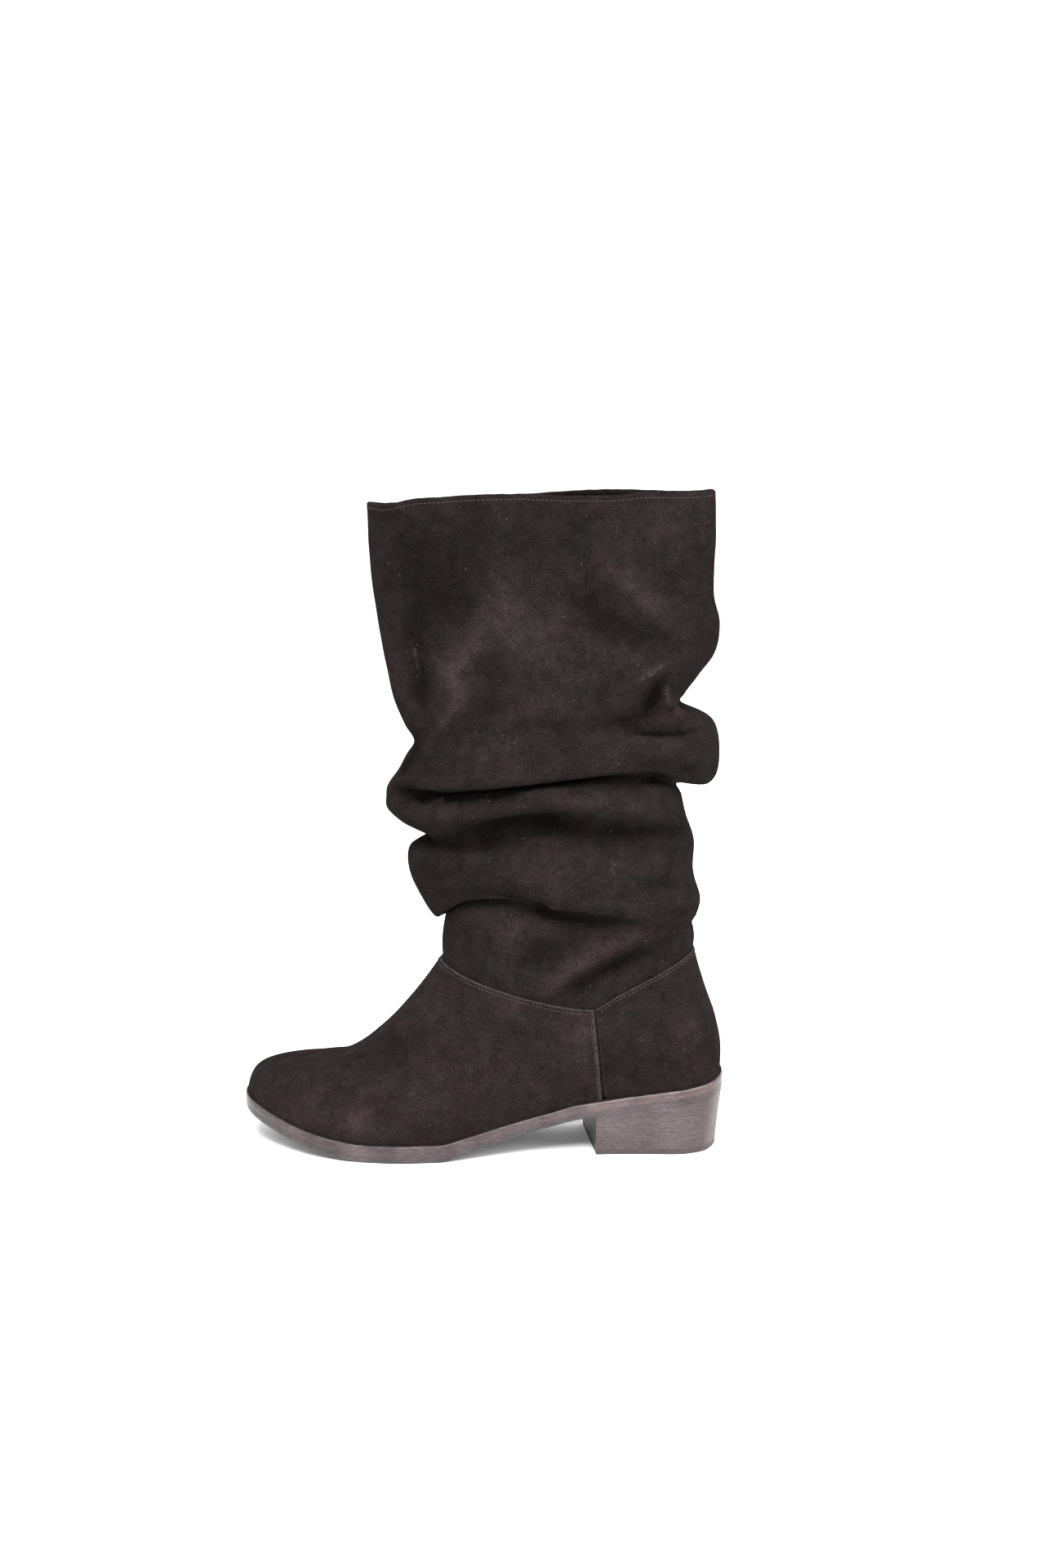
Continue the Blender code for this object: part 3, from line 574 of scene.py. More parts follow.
def sole_plan(at, side, inset=0.0):
    """x and y of the sole's edge, or of a line that lies inset inside it."""
    shares, centres, halves = np.array(SOLE_PLAN).T

    def edge(where):
        x = SOLE_BACK_X - SOLE_LENGTH * (1 - spread(where, SOLE_SHIFT))
        return x, BALL_WIDTH * np.maximum(through(shares, halves, where), 0.0)

    x, half = edge(at)
    x2, half2 = edge(np.clip(at + EDGE_STEP, 0, 1))
    x1, half1 = edge(np.clip(at - EDGE_STEP, 0, 1))
    dx, dh = x2 - x1, half2 - half1
    length = np.hypot(dx, dh)
    flat_end = (at < 1e-9) | (at > 1 - 1e-9)
    nx = np.where(flat_end, np.where(at < 0.5, -1.0, 1.0), -dh / length)
    nh = np.where(flat_end, 0.0, dx / length)
    centre = TOE_SWING * through(shares, centres, at)
    return x - inset * nx, centre + side * (half - inset * nh)


def sole_heights(x):
    """Underside and top of the sole at x."""
    along, springs, heels, thicks = np.array(SOLE_PROFILE).T
    place = (x - (SOLE_BACK_X - SOLE_LENGTH)) / SOLE_LENGTH
    spring = TOE_SPRING * through(along, springs, place)
    heel = HEEL_HEIGHT * through(along, heels, place)
    thick = SOLE_THICKNESS * through(along, thicks, place)
    return spring + heel, spring + heel + thick


def top_line():
    """The line where vamp and counter end on the shaft."""
    at, side, _ = columns()
    front = SHAFT_AXIS_X - TOP_FRONT * COLLAR_LENGTH
    back = SHAFT_AXIS_X + TOP_BACK * COLLAR_LENGTH
    x = front + (back - front) * spread(at, SHAFT_SHIFT)
    y = side * ANKLE_WIDTH / 2 * np.sin(np.pi * at) ** TOP_ROUNDNESS
    z = BOOT_HEIGHT * through(*np.array(TOP_LINE).T, at)
    return np.stack([x, y, z], axis=1)


def foot_rows():
    """Rows of the foot from the feather line to just below the top line."""
    at, side, _ = columns()
    start_x, start_y = sole_plan(at, side, LEDGE)
    start = np.stack([start_x, start_y, sole_heights(start_x)[1]], axis=1)
    end = top_line()
    rows = []
    for row in FOOT_ROWS:
        run, rise, out = (through(FOOT_KEYS, keys, at) for keys in np.array(row).T)
        points = start.copy()
        points[:, :2] += (end - start)[:, :2] * run[:, None]
        points[:, 1] += side * (FOLD_DEPTH * out) * np.sin(np.pi * at) ** 0.5
        points[:, 2] += (end - start)[:, 2] * rise
        rows.append(points)
    return rows


def fold_rows():
    """Rows of the shaft, one for each fold line from the ankle to the collar."""
    at, side, once = columns()
    rows = []
    for heights, reach in zip(FOLD_HEIGHTS, FOLD_REACH):
        front = SHAFT_AXIS_X - reach[0] * COLLAR_LENGTH
        back = SHAFT_AXIS_X + reach[1] * COLLAR_LENGTH
        half = reach[2] * ANKLE_WIDTH / 2
        z = BOOT_HEIGHT * around(np.array(heights[1:]) / 1000, once)
        insets = (0.0, *reach[3:6], 0.0, *reach[6:9])
        inset = FOLD_DEPTH * around(insets, once) * np.sin(np.pi * at) ** 0.5
        x = front + (back - front) * spread(at, SHAFT_SHIFT)
        y = side * half * np.sin(np.pi * at) ** SHAFT_ROUNDNESS
        nx = -np.cos(np.pi * at) * half
        ny = side * np.sin(np.pi * at) * (back - front) / 2
        length = np.hypot(nx, ny)
        rows.append(np.stack([x - inset * nx / length, y - inset * ny / length, z], axis=1))
    return rows


def unit(vectors):
    return vectors / np.maximum(np.linalg.norm(vectors, axis=-1, keepdims=True), 1e-12)


def normals(grid):
    """Outward unit normals of a grid of closed rows."""
    ring = np.roll(grid, -1, axis=1) - np.roll(grid, 1, axis=1)
    return unit(np.cross(ring, np.gradient(grid, axis=0)))


def smoothed(grid, passes):
    """The grid with each inner point drawn to its neighbours."""
    for _ in range(passes):
        ring = (np.roll(grid, -1, axis=1) + np.roll(grid, 1, axis=1)) / 2
        along = (grid[:-2] + grid[2:]) / 2
        new = grid.copy()
        new[1:-1] = grid[1:-1] * 0.4 + ring[1:-1] * 0.3 + along * 0.3
        grid = new
    return grid


def uneven(points, size, seed):
    """Soft noise from -1 to 1 at each point, with features of about the given size."""
    flat = points.reshape(-1, 3) / size
    values = [noise.noise(Vector((p[0] + seed, p[1], p[2]))) for p in flat]
    return np.array(values).reshape(points.shape[:-1])


def lumps(points, *waves):
    """The sum of some waves of soft unevenness at each point."""
    return sum(strength * uneven(points, size, seed) for strength, size, seed in waves)


def crease_path(grid, side, points):
    """Points on the surface under a crease, about half a millimetre apart."""
    _, side_of, _ = columns()
    flank = grid[:, side_of * side > 0].reshape(-1, 3)
    places = np.linspace(0, len(points) - 1, PATH_STEPS * len(points))
    track = rows_at(np.array(points) / 1000, places)
    hidden = HIDDEN_COST * (ANKLE_WIDTH - abs(flank[:, 1]))
    path = []
    for share, height in track:
        x = SHAFT_AXIS_X + (share - 0.5) * COLLAR_LENGTH
        z = height * BOOT_HEIGHT
        near = (flank[:, 0] - x) ** 2 + (flank[:, 2] - z) ** 2
        path.append(flank[np.argmin(near + hidden)])
    return np.array(path)


def crease_lift(grid, side, lift, width, points, shoulder):
    """How far a crease moves each point of the grid along its normal. A shoulder is what rises
    beside a trough or sinks beside a ridge."""
    path = crease_path(grid, side, points)
    reach = 3.5 * width
    low, high = path.min(axis=0) - reach, path.max(axis=0) + reach
    close = np.all((grid > low) & (grid < high), axis=-1)
    away = np.linalg.norm(grid[close][:, None] - path[None], axis=-1)
    nearest = np.argmin(away, axis=1)
    distance = away[np.arange(len(away)), nearest]
    share = nearest / (len(path) - 1)
    ends = np.clip(np.minimum(share, 1 - share) / CREASE_TAPER, 0, 1)
    taper = ends * ends * (3 - 2 * ends)
    body = np.exp(-((distance / width) ** 2))
    beside = shoulder * np.exp(-(((distance - 2.0 * width) / (0.8 * width)) ** 2))
    made = np.zeros(grid.shape[:2])
    made[close] = lift * taper * (body + beside)
    return made


def drawn(grid, table, start, shoulder=0.0):
    """The start with each line of a table added to it."""
    return sum((crease_lift(grid, *line[1:], shoulder) for line in table), start)


def creased(grid):
    """The shaft with its creases and the unevenness of soft suede, a value of painted shade in the
    troughs and painted highlights on the ridges mixed with the suede's brushed pile, and its tone:
    pale dust on worn wrinkles and painted shade down in the folds.
    """
    out = normals(smoothed(grid, 3))
    flat = np.zeros(grid.shape[:2])
    move = drawn(grid, CREASES, flat, CREASE_SHOULDER)
    # Painted shade and highlight: troughs darker and ridges lighter by their lift, plus strokes of painted
    # highlight, painted shade and brushed pile.
    nap_and_shading = drawn(grid, NAP_AND_SHADING_STROKES, np.clip(move / CREASE_SHADING_REACH, -1, 1))
    # Tone: pale dust on worn wrinkles, and painted shade down in the folds.
    tone = drawn(grid, TONE_LINES, flat)
    move = move + lumps(grid, *SHAFT_WAVES)
    return grid + out * move[..., None], np.clip(nap_and_shading, -1, 1), np.clip(tone, -1, 1)


def mesh_object(name, points, faces, materials, indices=None, sharp=None):
    mesh = bpy.data.meshes.new(name)
    mesh.from_pydata([tuple(p) for p in points], [], faces)
    for material in materials:
        mesh.materials.append(material)
    if indices is not None:
        mesh.polygons.foreach_set("material_index", indices)
    mesh.update()
    mesh.shade_smooth()
    if sharp is not None:
        mesh.set_sharp_from_angle(angle=radians(sharp))
    made = bpy.data.objects.new(name, mesh)
    bpy.context.scene.collection.objects.link(made)
    return made


def grid_object(name, grid, closed, materials, indices=None):
    """A surface of rows of points, each row closed to a ring or left open."""
    rows, count = grid.shape[:2]
    faces = []
    for row in range(rows - 1):
        for column in range(count if closed else count - 1):
            a = row * count + column
            b = row * count + (column + 1) % count
            faces.append((a, b, b + count, a + count))
    return mesh_object(name, grid.reshape(-1, 3), faces, materials, indices)


def stack(name, rings, materials, indices=None):
    """A solid of rings. Each ring runs down one side and back up the other, and the first and
    last are closed by strips from side to side. The rings run from the top down."""
    count = len(rings[0])
    faces = []
    for level in range(len(rings) - 1):
        for i in range(count):
            j = (i + 1) % count
            high, low = level * count, (level + 1) * count
            faces.append((high + i, low + i, low + j, high + j))
    for base, order in ((0, 1), ((len(rings) - 1) * count, -1)):
        a, b = 0, count - 1
        while b - a > 1:
            corners = (a, a + 1, b - 1, b) if b - a > 2 else (a, a + 1, b)
            faces.append(tuple(base + corner for corner in corners)[::order])
            a += 1
            b -= 1
    return mesh_object(name, np.concatenate(rings), faces, materials, indices, SHARP_ANGLE)


def walk(lines, distance):
    """The point a distance along each line."""
    steps = np.linalg.norm(np.diff(lines, axis=1), axis=2)
    length = np.concatenate([np.zeros((len(lines), 1)), np.cumsum(steps, axis=1)], axis=1)
    points = []
    for line, run in zip(lines, length):
        points.append([np.interp(distance, run, line[:, axis]) for axis in range(3)])
    return np.array(points)


def along_path(path, facing, pitch, closed):
    """Places along a path at even spacing, with the direction and the facing at each."""
    if closed:
        path = np.concatenate([path, path[:1]])
        facing = np.concatenate([facing, facing[:1]])
    run = np.concatenate([[0], np.cumsum(np.linalg.norm(np.diff(path, axis=0), axis=1))])
    count = int(run[-1] / pitch)
    places = (np.arange(count) + 0.5) * run[-1] / count

    def read(values, where):
        return np.stack([np.interp(where, run, values[:, axis]) for axis in range(3)], axis=1)

    before = np.maximum(places - pitch / 3, 0)
    after = np.minimum(places + pitch / 3, run[-1])
    return read(path, places), unit(read(path, after) - read(path, before)), unit(read(facing, places))


def stitches(name, seams, material, slot):
    """Short thread stitches along several seams. Each seam is a path, its facing and closed."""
    points, faces = [], []
    sides = 6
    last = (len(STITCH_PROFILE) - 1) * sides
    for path, facing, closed in seams:
        centres, ahead, up = along_path(path, facing, STITCH_PITCH, closed)
        across = unit(np.cross(ahead, up))
        up = unit(np.cross(across, ahead))
        for centre, a, c, u in zip(centres, ahead, across, up):
            base = len(points)
            for share, rise, radius in STITCH_PROFILE:
                middle = centre + a * share * STITCH_LENGTH + u * rise * THREAD_RADIUS
                for k in range(sides):
                    turn = 2 * np.pi * k / sides
                    ring = c * np.cos(turn) + u * np.sin(turn)
                    points.append(middle + ring * radius * THREAD_RADIUS)
            for level in range(base, base + last, sides):
                for k in range(sides):
                    i = level + k
                    j = level + (k + 1) % sides
                    faces.append((i, i + sides, j + sides, j))
            faces.append(tuple(range(base, base + sides)))
            faces.append(tuple(range(base + last, base + last + sides))[::-1])
    finish_piece(mesh_object(name, points, faces, [material]), slot)


def finish_piece(piece, slot, *nodes):
    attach(piece, "root")
    if nodes:
        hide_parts(*nodes)


def new_material(name, colour, roughness, specular):
    """A material with its node tree and its shader."""
    made = bpy.data.materials.new(name)
    made.use_nodes = True
    tree = made.node_tree
    shader = tree.nodes["Principled BSDF"]
    shader.inputs["Base Color"].default_value = (*colour, 1)
    shader.inputs["Roughness"].default_value = roughness
    shader.inputs["Specular IOR Level"].default_value = specular
    return made, tree, shader


def node(tree, kind, output, inputs, **settings):
    """An output of a new node. Its inputs are linked where a socket is given and set elsewhere."""
    made = tree.nodes.new("ShaderNode" + kind)
    for name, value in settings.items():
        setattr(made, name, value)
    for name, value in inputs.items():
        socket = made.inputs[name]
        if isinstance(value, bpy.types.NodeSocket):
            tree.links.new(value, socket)
        else:
            socket.default_value = (*value, 1) if socket.type == "RGBA" else value
    return made.outputs[output]


def place_in(tree):
    return node(tree, "TexCoord", "Object", {})


def noise_node(tree, scale, detail=3.0, stretch=(1, 1, 1), roughness=0.5):
    place = node(tree, "Mapping", "Vector", {"Vector": place_in(tree), "Scale": stretch})
    inputs = {"Vector": place, "Scale": scale, "Detail": detail, "Roughness": roughness}
    return node(tree, "TexNoise", "Fac", inputs)


def ramp(tree, value, low, high, dark, light):
    """Colour that goes from dark to light as the value goes from low to high."""
    colour = node(tree, "ValToRGB", "Color", {"Fac": value})
    ends = colour.node.color_ramp.elements
    for end, position, shade in zip(ends, (low, high), (dark, light)):
        end.position = position
        end.color = (*shade, 1)
    return colour


def blended(tree, kind, share, first, second):
    """A mix of two colours. 0, 6 and 7 are the node's factor and its two colours."""
    inputs = {0: share, 6: first, 7: second}
    return node(tree, "Mix", 2, inputs, data_type="RGBA", blend_type=kind)


def tinted(tree, colour, value, low, high, dark, light):
    """The colour times another that goes from dark to light with the value."""
    return blended(tree, "MULTIPLY", 1.0, colour, ramp(tree, value, low, high, dark, light))


def bumps(tree, shader, *layers):
    """Chains bumps of height value, distance in metres and strength."""
    below = {}
    for value, distance, strength in layers:
        inputs = {"Height": value, "Distance": distance, "Strength": strength, **below}
        below = {"Normal": node(tree, "Bump", "Normal", inputs)}
    tree.links.new(below["Normal"], shader.inputs["Normal"])


def point_value(tree, name):
    return node(tree, "Attribute", "Fac", {}, attribute_name=name)


def times(tree, first, second):
    return node(tree, "Math", 0, {0: first, 1: second}, operation="MULTIPLY")


def lint(tree, scale, radius):
    """White on tiny scattered specks, black elsewhere."""
    distance = node(tree, "TexVoronoi", "Distance", {"Vector": place_in(tree), "Scale": scale})
    return ramp(tree, distance, radius, radius * 1.5, WHITE, BLACK)


def suede(name, dark, light):
    made, tree, shader = new_material(name, light, 0.95, 0.01)
    patches = noise_node(tree, 24.0, 2.0)
    mottle = noise_node(tree, 135.0, 4.0, roughness=0.65)
    hue = noise_node(tree, 90.0, 2.0)
    grain = noise_node(tree, 1500.0, 3.0, roughness=0.6)
    fibres = noise_node(tree, 2400.0, 2.0, stretch=(1.0, 1.0, 0.45))
    nap_and_shading = point_value(tree, "nap_and_shading")
    tone = point_value(tree, "tone")
    colour = ramp(tree, mottle, 0.32, 0.70, dark, light)
    colour = tinted(tree, colour, patches, 0.30, 0.70, (0.84, 0.84, 0.84), (1.17, 1.16, 1.16))
    colour = tinted(tree, colour, hue, 0.35, 0.65, (0.95, 1.04, 1.02), (1.08, 0.97, 0.98))
    colour = tinted(tree, colour, grain, 0.28, 0.72, (0.32, 0.32, 0.32), (1.78, 1.75, 1.75))
    # Painted highlight where the value is above 0, on ridges and lit planes, and painted shade below 0, in
    # troughs and on shaded facets, together with the suede's pile brushed lighter or darker.
    colour = tinted(tree, colour, nap_and_shading, 0.0, 1.0, WHITE, (1.8, 1.76, 1.74))
    colour = tinted(tree, colour, times(tree, nap_and_shading, -1.0), 0.0, 1.0, WHITE, (0.35, 0.35, 0.35))
    # Painted shade down in the folds where the tone is below 0; above 0 it is pale dust, mixed in next.
    colour = tinted(tree, colour, times(tree, tone, -1.0), 0.0, 1.0, WHITE, (0.10, 0.10, 0.10))
    broken = ramp(tree, noise_node(tree, 500.0, 2.0), 0.42, 0.6, BLACK, WHITE)
    colour = blended(tree, "MIX", times(tree, tone, broken), colour, (0.028, 0.025, 0.024))
    colour = blended(tree, "MIX", lint(tree, 150.0, 0.030), colour, (0.07, 0.058, 0.054))
    tree.links.new(colour, shader.inputs["Base Color"])
    shader.inputs["Sheen Weight"].default_value = 0.004
    shader.inputs["Sheen Roughness"].default_value = 0.55
    shader.inputs["Sheen Tint"].default_value = (0.9, 0.78, 0.74, 1)
    bumps(tree, shader, (mottle, 0.0007, 0.5), (grain, 0.0007, 0.8), (fibres, 0.0003, 0.6))
    return made


def plain(name, base, gloss, speckle, dark, light, bump, pores=None, low=0.3):
    """One noise for the colour, and the same one or finer pores for the bumps. gloss: roughness
    and specular level. bump: distance and strength."""
    made, tree, shader = new_material(name, base, *gloss)
    tones = noise_node(tree, *speckle)
    tree.links.new(ramp(tree, tones, low, 1 - low, dark, light), shader.inputs["Base Color"])
    height = noise_node(tree, *pores) if pores else tones
    bumps(tree, shader, (height, *bump))
    return made


def lining_leather():
    return plain("lining", (0.20, 0.14, 0.095), (0.6, 0.3), (40.0, 3.0), (0.15, 0.10, 0.068),
                 (0.22, 0.155, 0.105), (0.0002, 0.4), pores=(1400.0, 2.0))


def sock_leather():
    return plain("sock", (0.20, 0.15, 0.105), (0.65, 0.3), (50.0, 3.0), (0.16, 0.118, 0.08),
                 (0.23, 0.175, 0.125), (0.0002, 0.4), pores=(1500.0, 2.0))


def raw_edge():
    return plain("raw_edge", (0.024, 0.020, 0.019), (0.95, 0.02), (700.0, 4.0, (1, 1, 1), 0.7),
                 (0.0085, 0.0070, 0.0068), (0.032, 0.0272, 0.0262), (0.0003, 0.8), low=0.32)


def thread(name, dark, light):
    return plain(name, light, (0.8, 0.15), (2200.0, 1.0), dark, light, (0.0002, 0.6))


def lift_rubber():
    return plain("lift_rubber", (0.026, 0.021, 0.020), (0.6, 0.3), (900.0, 2.0),
                 (0.023, 0.0172, 0.0170), (0.045, 0.0350, 0.0345), (0.0002, 0.4))


def along(tree, start, stop):
    """0 at x = start and 1 at x = stop, in metres along the boot."""
    x = node(tree, "SeparateXYZ", "X", {"Vector": place_in(tree)})
    return node(tree, "MapRange", "Result", {"Value": x, "From Min": start, "From Max": stop})


def browned(tree, colour):
    """The colour, darker and warmer round the back of the heel."""
    return tinted(tree, colour, along(tree, 0.010, 0.034), 0.0, 1.0, WHITE, (0.66, 0.58, 0.52))


def sole_leather(name, dark, light, roughness, painted_heel_highlight):
    """Edge leather. polish: how much paler it is painted over the heel than at the toe, a painted
    highlight for the shine along the edge there.
    """
    made, tree, shader = new_material(name, light, roughness, LEATHER_SPECULAR)
    patches = noise_node(tree, 60.0, 3.0)
    layers = noise_node(tree, 60.0, 4.0, stretch=(1.2, 1.2, 26.0))
    scratches = noise_node(tree, 330.0, 3.0, stretch=(0.8, 0.8, 6.0))
    colour = ramp(tree, patches, 0.3, 0.7, dark, light)
    colour = tinted(tree, colour, layers, 0.3, 0.7, (0.8, 0.79, 0.79), (1.2, 1.2, 1.2))
    colour = tinted(tree, colour, scratches, 0.35, 0.68, (0.74, 0.73, 0.73), (1.45, 1.45, 1.46))
    # Painted highlight: paler towards the heel, for the shine along the edge there.
    colour = tinted(tree, colour, along(tree, -0.070, 0.012), 0.0, 1.0, WHITE, (painted_heel_highlight,) * 3)
    tree.links.new(browned(tree, colour), shader.inputs["Base Color"])
    bumps(tree, shader, (layers, 0.0003, 0.35), (scratches, 0.0002, 0.3))
    return made


def stacked_leather():
    made, tree, shader = new_material("stacked_leather", (0.045, 0.034, 0.0345), 0.45,
                                      LEATHER_SPECULAR)
    patches = noise_node(tree, 45.0, 3.0)
    layers = noise_node(tree, 50.0, 4.0, stretch=(1.5, 1.5, 34.0))
    fine = noise_node(tree, 430.0, 3.0, stretch=(1.0, 1.0, 6.0))
    colour = ramp(tree, patches, 0.3, 0.7, (0.032, 0.0234, 0.0234), (0.056, 0.0430, 0.0430))
    colour = tinted(tree, colour, layers, 0.3, 0.7, (0.74, 0.73, 0.72), (1.28, 1.28, 1.29))
    colour = tinted(tree, colour, fine, 0.35, 0.68, (0.70, 0.69, 0.69), (1.46, 1.47, 1.49))
    tree.links.new(browned(tree, colour), shader.inputs["Base Color"])
    bumps(tree, shader, (layers, 0.0004, 0.4), (fine, 0.0003, 0.5))
    return made


def foot_places():
    """Places of the foot's rows, closer at the feather line and under the top line."""
    last = len(FOOT_ROWS)
    middle = np.arange(1, last - CLOSE_SPAN, 1 / FOOT_STEPS)
    high = np.linspace(last - CLOSE_SPAN, last, TOP_ROWS)
    return np.concatenate([FEATHER_PLACES, middle, high])


def shaft_places():
    """Places of the shaft's rows, closer at the hem."""
    last = len(FOLD_HEIGHTS)
    even = np.arange(0, last - CLOSE_SPAN, 1 / FOLD_STEPS)
    hem = np.linspace(last - CLOSE_SPAN, last - COLLAR_SHORT, HEM_ROWS)
    return np.concatenate([even, hem])


def foot_form():
    """The foot's outer surface, its edge tucked in at the sole, and its normals."""
    rows = foot_rows() + [top_line()]
    places = foot_places()
    grid = rows_at(rows, places)
    out = normals(np.concatenate([grid, rows_at([rows[-1], fold_rows()[0]], [0.05])]))[:-1]
    tuck = TUCK * np.clip(1 - places / TUCK_END, 0, 1) ** 2
    lift = lumps(grid, *FOOT_WAVES) * np.clip(places, 0, 1)[:, None] - tuck[:, None]
    return grid + out * lift[..., None], out


def collar_wave(shaft):
    """Lift of each point of the shaft that makes the collar's edge wavy."""
    _, side, _ = columns()
    shares, outers, inners = np.array(COLLAR_WAVE).T
    place = np.clip((shaft[-1, :, 0] - SHAFT_AXIS_X) / COLLAR_LENGTH + 0.5, 0, 1)
    wave = np.where(side < 0, through(shares, outers, place), through(shares, inners, place))
    wave = wave + lumps(shaft[-1], RIM_WAVE)
    fade = np.exp(-(shaft[-1, :, 2] - shaft[..., 2]) / COLLAR_WAVE_DROP)
    return wave * np.minimum(fade, 1.0)


def shaft_form(form, out):
    """The upper's outer surface under the overlays, and from there to the collar."""
    sunk = form - out * (OVERLAY + GAP)
    grid = rows_at([sunk[-1]] + fold_rows(), shaft_places())
    shaft, nap_and_shading, tone = creased(grid)
    blend = np.clip(np.arange(len(shaft)) / BLEND_ROWS, 0, 1)[:, None, None]
    shaft = grid + (shaft - grid) * blend
    shaft[..., 2] += collar_wave(shaft)
    return sunk, shaft, nap_and_shading, tone


def rim_rows(edge, out, up, radius, arc):
    """Rows of an arc over an edge."""
    turns = np.radians(np.linspace(*arc))
    return [edge - out * radius * (1 - np.cos(a)) + up * radius * np.sin(a) for a in turns]


def paint(piece, name, values):
    """Stores one number for each point, which the material reads."""
    layer = piece.data.attributes.new(name, "FLOAT", "POINT")
    layer.data.foreach_set("value", np.asarray(values, np.float32).ravel())


def build_shaft(sunk, shaft, nap_and_shading, tone, material):
    """The wall's outer face, with fewer rows under the overlays. Gives its normals."""
    under = np.concatenate([sunk[:-LAP_ROWS:5], sunk[-LAP_ROWS:-1]])
    out = normals(np.concatenate([under, shaft]))[len(under):]
    up = unit(shaft[-1] - shaft[-2])
    rim = rim_rows(shaft[-1], out[-1], up, RIM_RADIUS, RIM_ARC)
    made = grid_object("shaft", np.concatenate([under, shaft, rim]), True, [material])
    below = np.zeros(under.shape[:2])
    above = np.zeros((len(rim), shaft.shape[1]))
    paint(made, "nap_and_shading", np.concatenate([below, nap_and_shading, above]))
    paint(made, "tone", np.concatenate([below, tone, above]))
    finish_piece(made, "suede", "upper")
    return out, up


def build_lining(sunk, shaft, out, up, leather, facing):
    """The inside, from the rim down to the insole, with the turned suede at the top."""
    whole = np.concatenate([sunk[:-LAP_ROWS:2], shaft[::2], shaft[-1:]])
    inner = smoothed(whole - normals(smoothed(whole, 3)) * WALL, 2)
    rim = rim_rows(shaft[-1], out[-1], up, RIM_RADIUS, INNER_RIM_ARC)
    edge = shaft[-1] - out[-1] * 2 * RIM_RADIUS
    inner = np.concatenate([inner[:-3], [edge - up * FACING_DROP], rim])
    indices = np.zeros((len(inner) - 1, inner.shape[1]), int)
    indices[:FACING_ROWS] = 1
    made = grid_object("lining", inner[::-1], True, [leather, facing], indices.ravel())
    finish_piece(made, "sock")


def fine_ends(face, facing):
    """The grid with close columns beside both ends, where the cut edge rolls up a little."""
    turn = np.clip(1 - END_DISTANCES / EDGE_ROLL_WIDTH, 0, 1)
    roll = EDGE_ROLL * np.sin(np.pi * turn**0.8 * 0.9 + 0.1 * np.pi * turn)
    sides = []
    for lines, end in ((face[:, :WALK_COLUMNS], 0), (face[:, :-WALK_COLUMNS - 1:-1], -1)):
        lump = 1 + lumps(face[:, end], CUT_WAVE)
        made = []
        for distance, rise in zip(END_DISTANCES, roll):
            made.append(walk(lines, distance) + facing[:, end] * (rise * lump)[:, None])
        sides.append(np.stack(made, axis=1))
    kept = slice(END_COLUMNS, -END_COLUMNS)
    made = np.concatenate([sides[0], face[:, kept], sides[1][:, ::-1]], axis=1)
    start, stop = (np.repeat(facing[:, [end]], len(roll), axis=1) for end in (0, -1))
    return made, np.concatenate([start, facing[:, kept], stop], axis=1)


def cut_edge(edge, facing, away, thickness):
    """Rows over a raw edge and down to what lies under it."""
    rows = rim_rows(edge, facing, away, RAW_EDGE, CUT_ARC)
    return rows + [edge + away * RAW_EDGE - facing * thickness]


def overlay(name, grid, out, first, last, thickness, strip, materials, slot, solid):
    """A layer of suede on the foot with raw cut edges: strip is how many columns they take."""
    picked = np.arange(first, last + 1) % grid.shape[1]
    face, facing = fine_ends(grid[:, picked], out[:, picked])
    top = cut_edge(face[-1], facing[-1], unit(face[-1] - face[-2]), thickness)
    face = np.concatenate([face, top])
    facing = np.concatenate([facing, np.repeat(facing[-1:], len(top), axis=0)])
    ends = []
    for end, beside in ((0, 1), (-1, -2)):
        away = unit(face[:, end] - face[:, beside])
        ends.append(np.stack(cut_edge(face[:, end], facing[:, end], away, thickness), axis=1))
    face = np.concatenate([ends[0][:, ::-1], face, ends[1]], axis=1)
    rows, count = face.shape[:2]
    row, column = np.indices((rows - 1, count - 1))
    raw = (row >= rows - 1 - RAW_ROWS) | (column < strip) | (column >= count - 1 - strip)
    made = grid_object(name, face, False, materials, raw.astype(int).ravel())
    patches = np.zeros(face.shape[:2])
    for _, centre, strength, width in FOOT_PATCHES:
        away = np.linalg.norm(face - np.array(centre), axis=-1)
        patches += strength * np.exp(-((away / width) ** 2))
    paint(made, "nap_and_shading", lumps(face, FOOT_NAP_WAVE) + patches)
    paint(made, "tone", np.zeros(face.shape[:2]))
    finish_piece(made, slot, solid)


def build_back_stay(shaft, out, material):
    """A strip over the back seam. Gives the paths of its two stitch rows."""
    back = SIDE_COLUMNS
    outer = shaft[:, back - STAY_COLUMNS:back + 1][:, ::-1]
    inner = shaft[:, back:back + STAY_COLUMNS + 1]
    offsets = np.linspace(-1, 1, STAY_COLUMNS + 1)
    rise = np.clip((1 - abs(offsets)) / STAY_BEVEL, 0, 1) ** 0.5
    strip = []
    for offset, lift in zip(offsets, rise):
        base = walk(outer if offset < 0 else inner, abs(offset) * BACK_STAY_HALF)
        strip.append(base + out[:, back] * (BACK_STAY_RISE * lift - CLEAR))
    made = grid_object("back_stay", np.stack(strip, axis=1), False, [material])
    finish_piece(made, "suede")
    seams = []
    for line in (outer, inner):
        path = walk(line, BACK_STAY_HALF - BACK_STITCH)
        path = path + out[:, back] * BACK_STAY_RISE * STAY_STITCH_RISE
        seams.append((path[::-1], out[::-1, back], False))
    return seams


def edge_seam(grid, out, first, last, drop):
    """Path of a stitch row below the top edge of an overlay."""
    picked = np.arange(first, last + 1) % grid.shape[1]
    return walk(grid[::-1, picked].transpose(1, 0, 2), drop), out[-1, picked], False


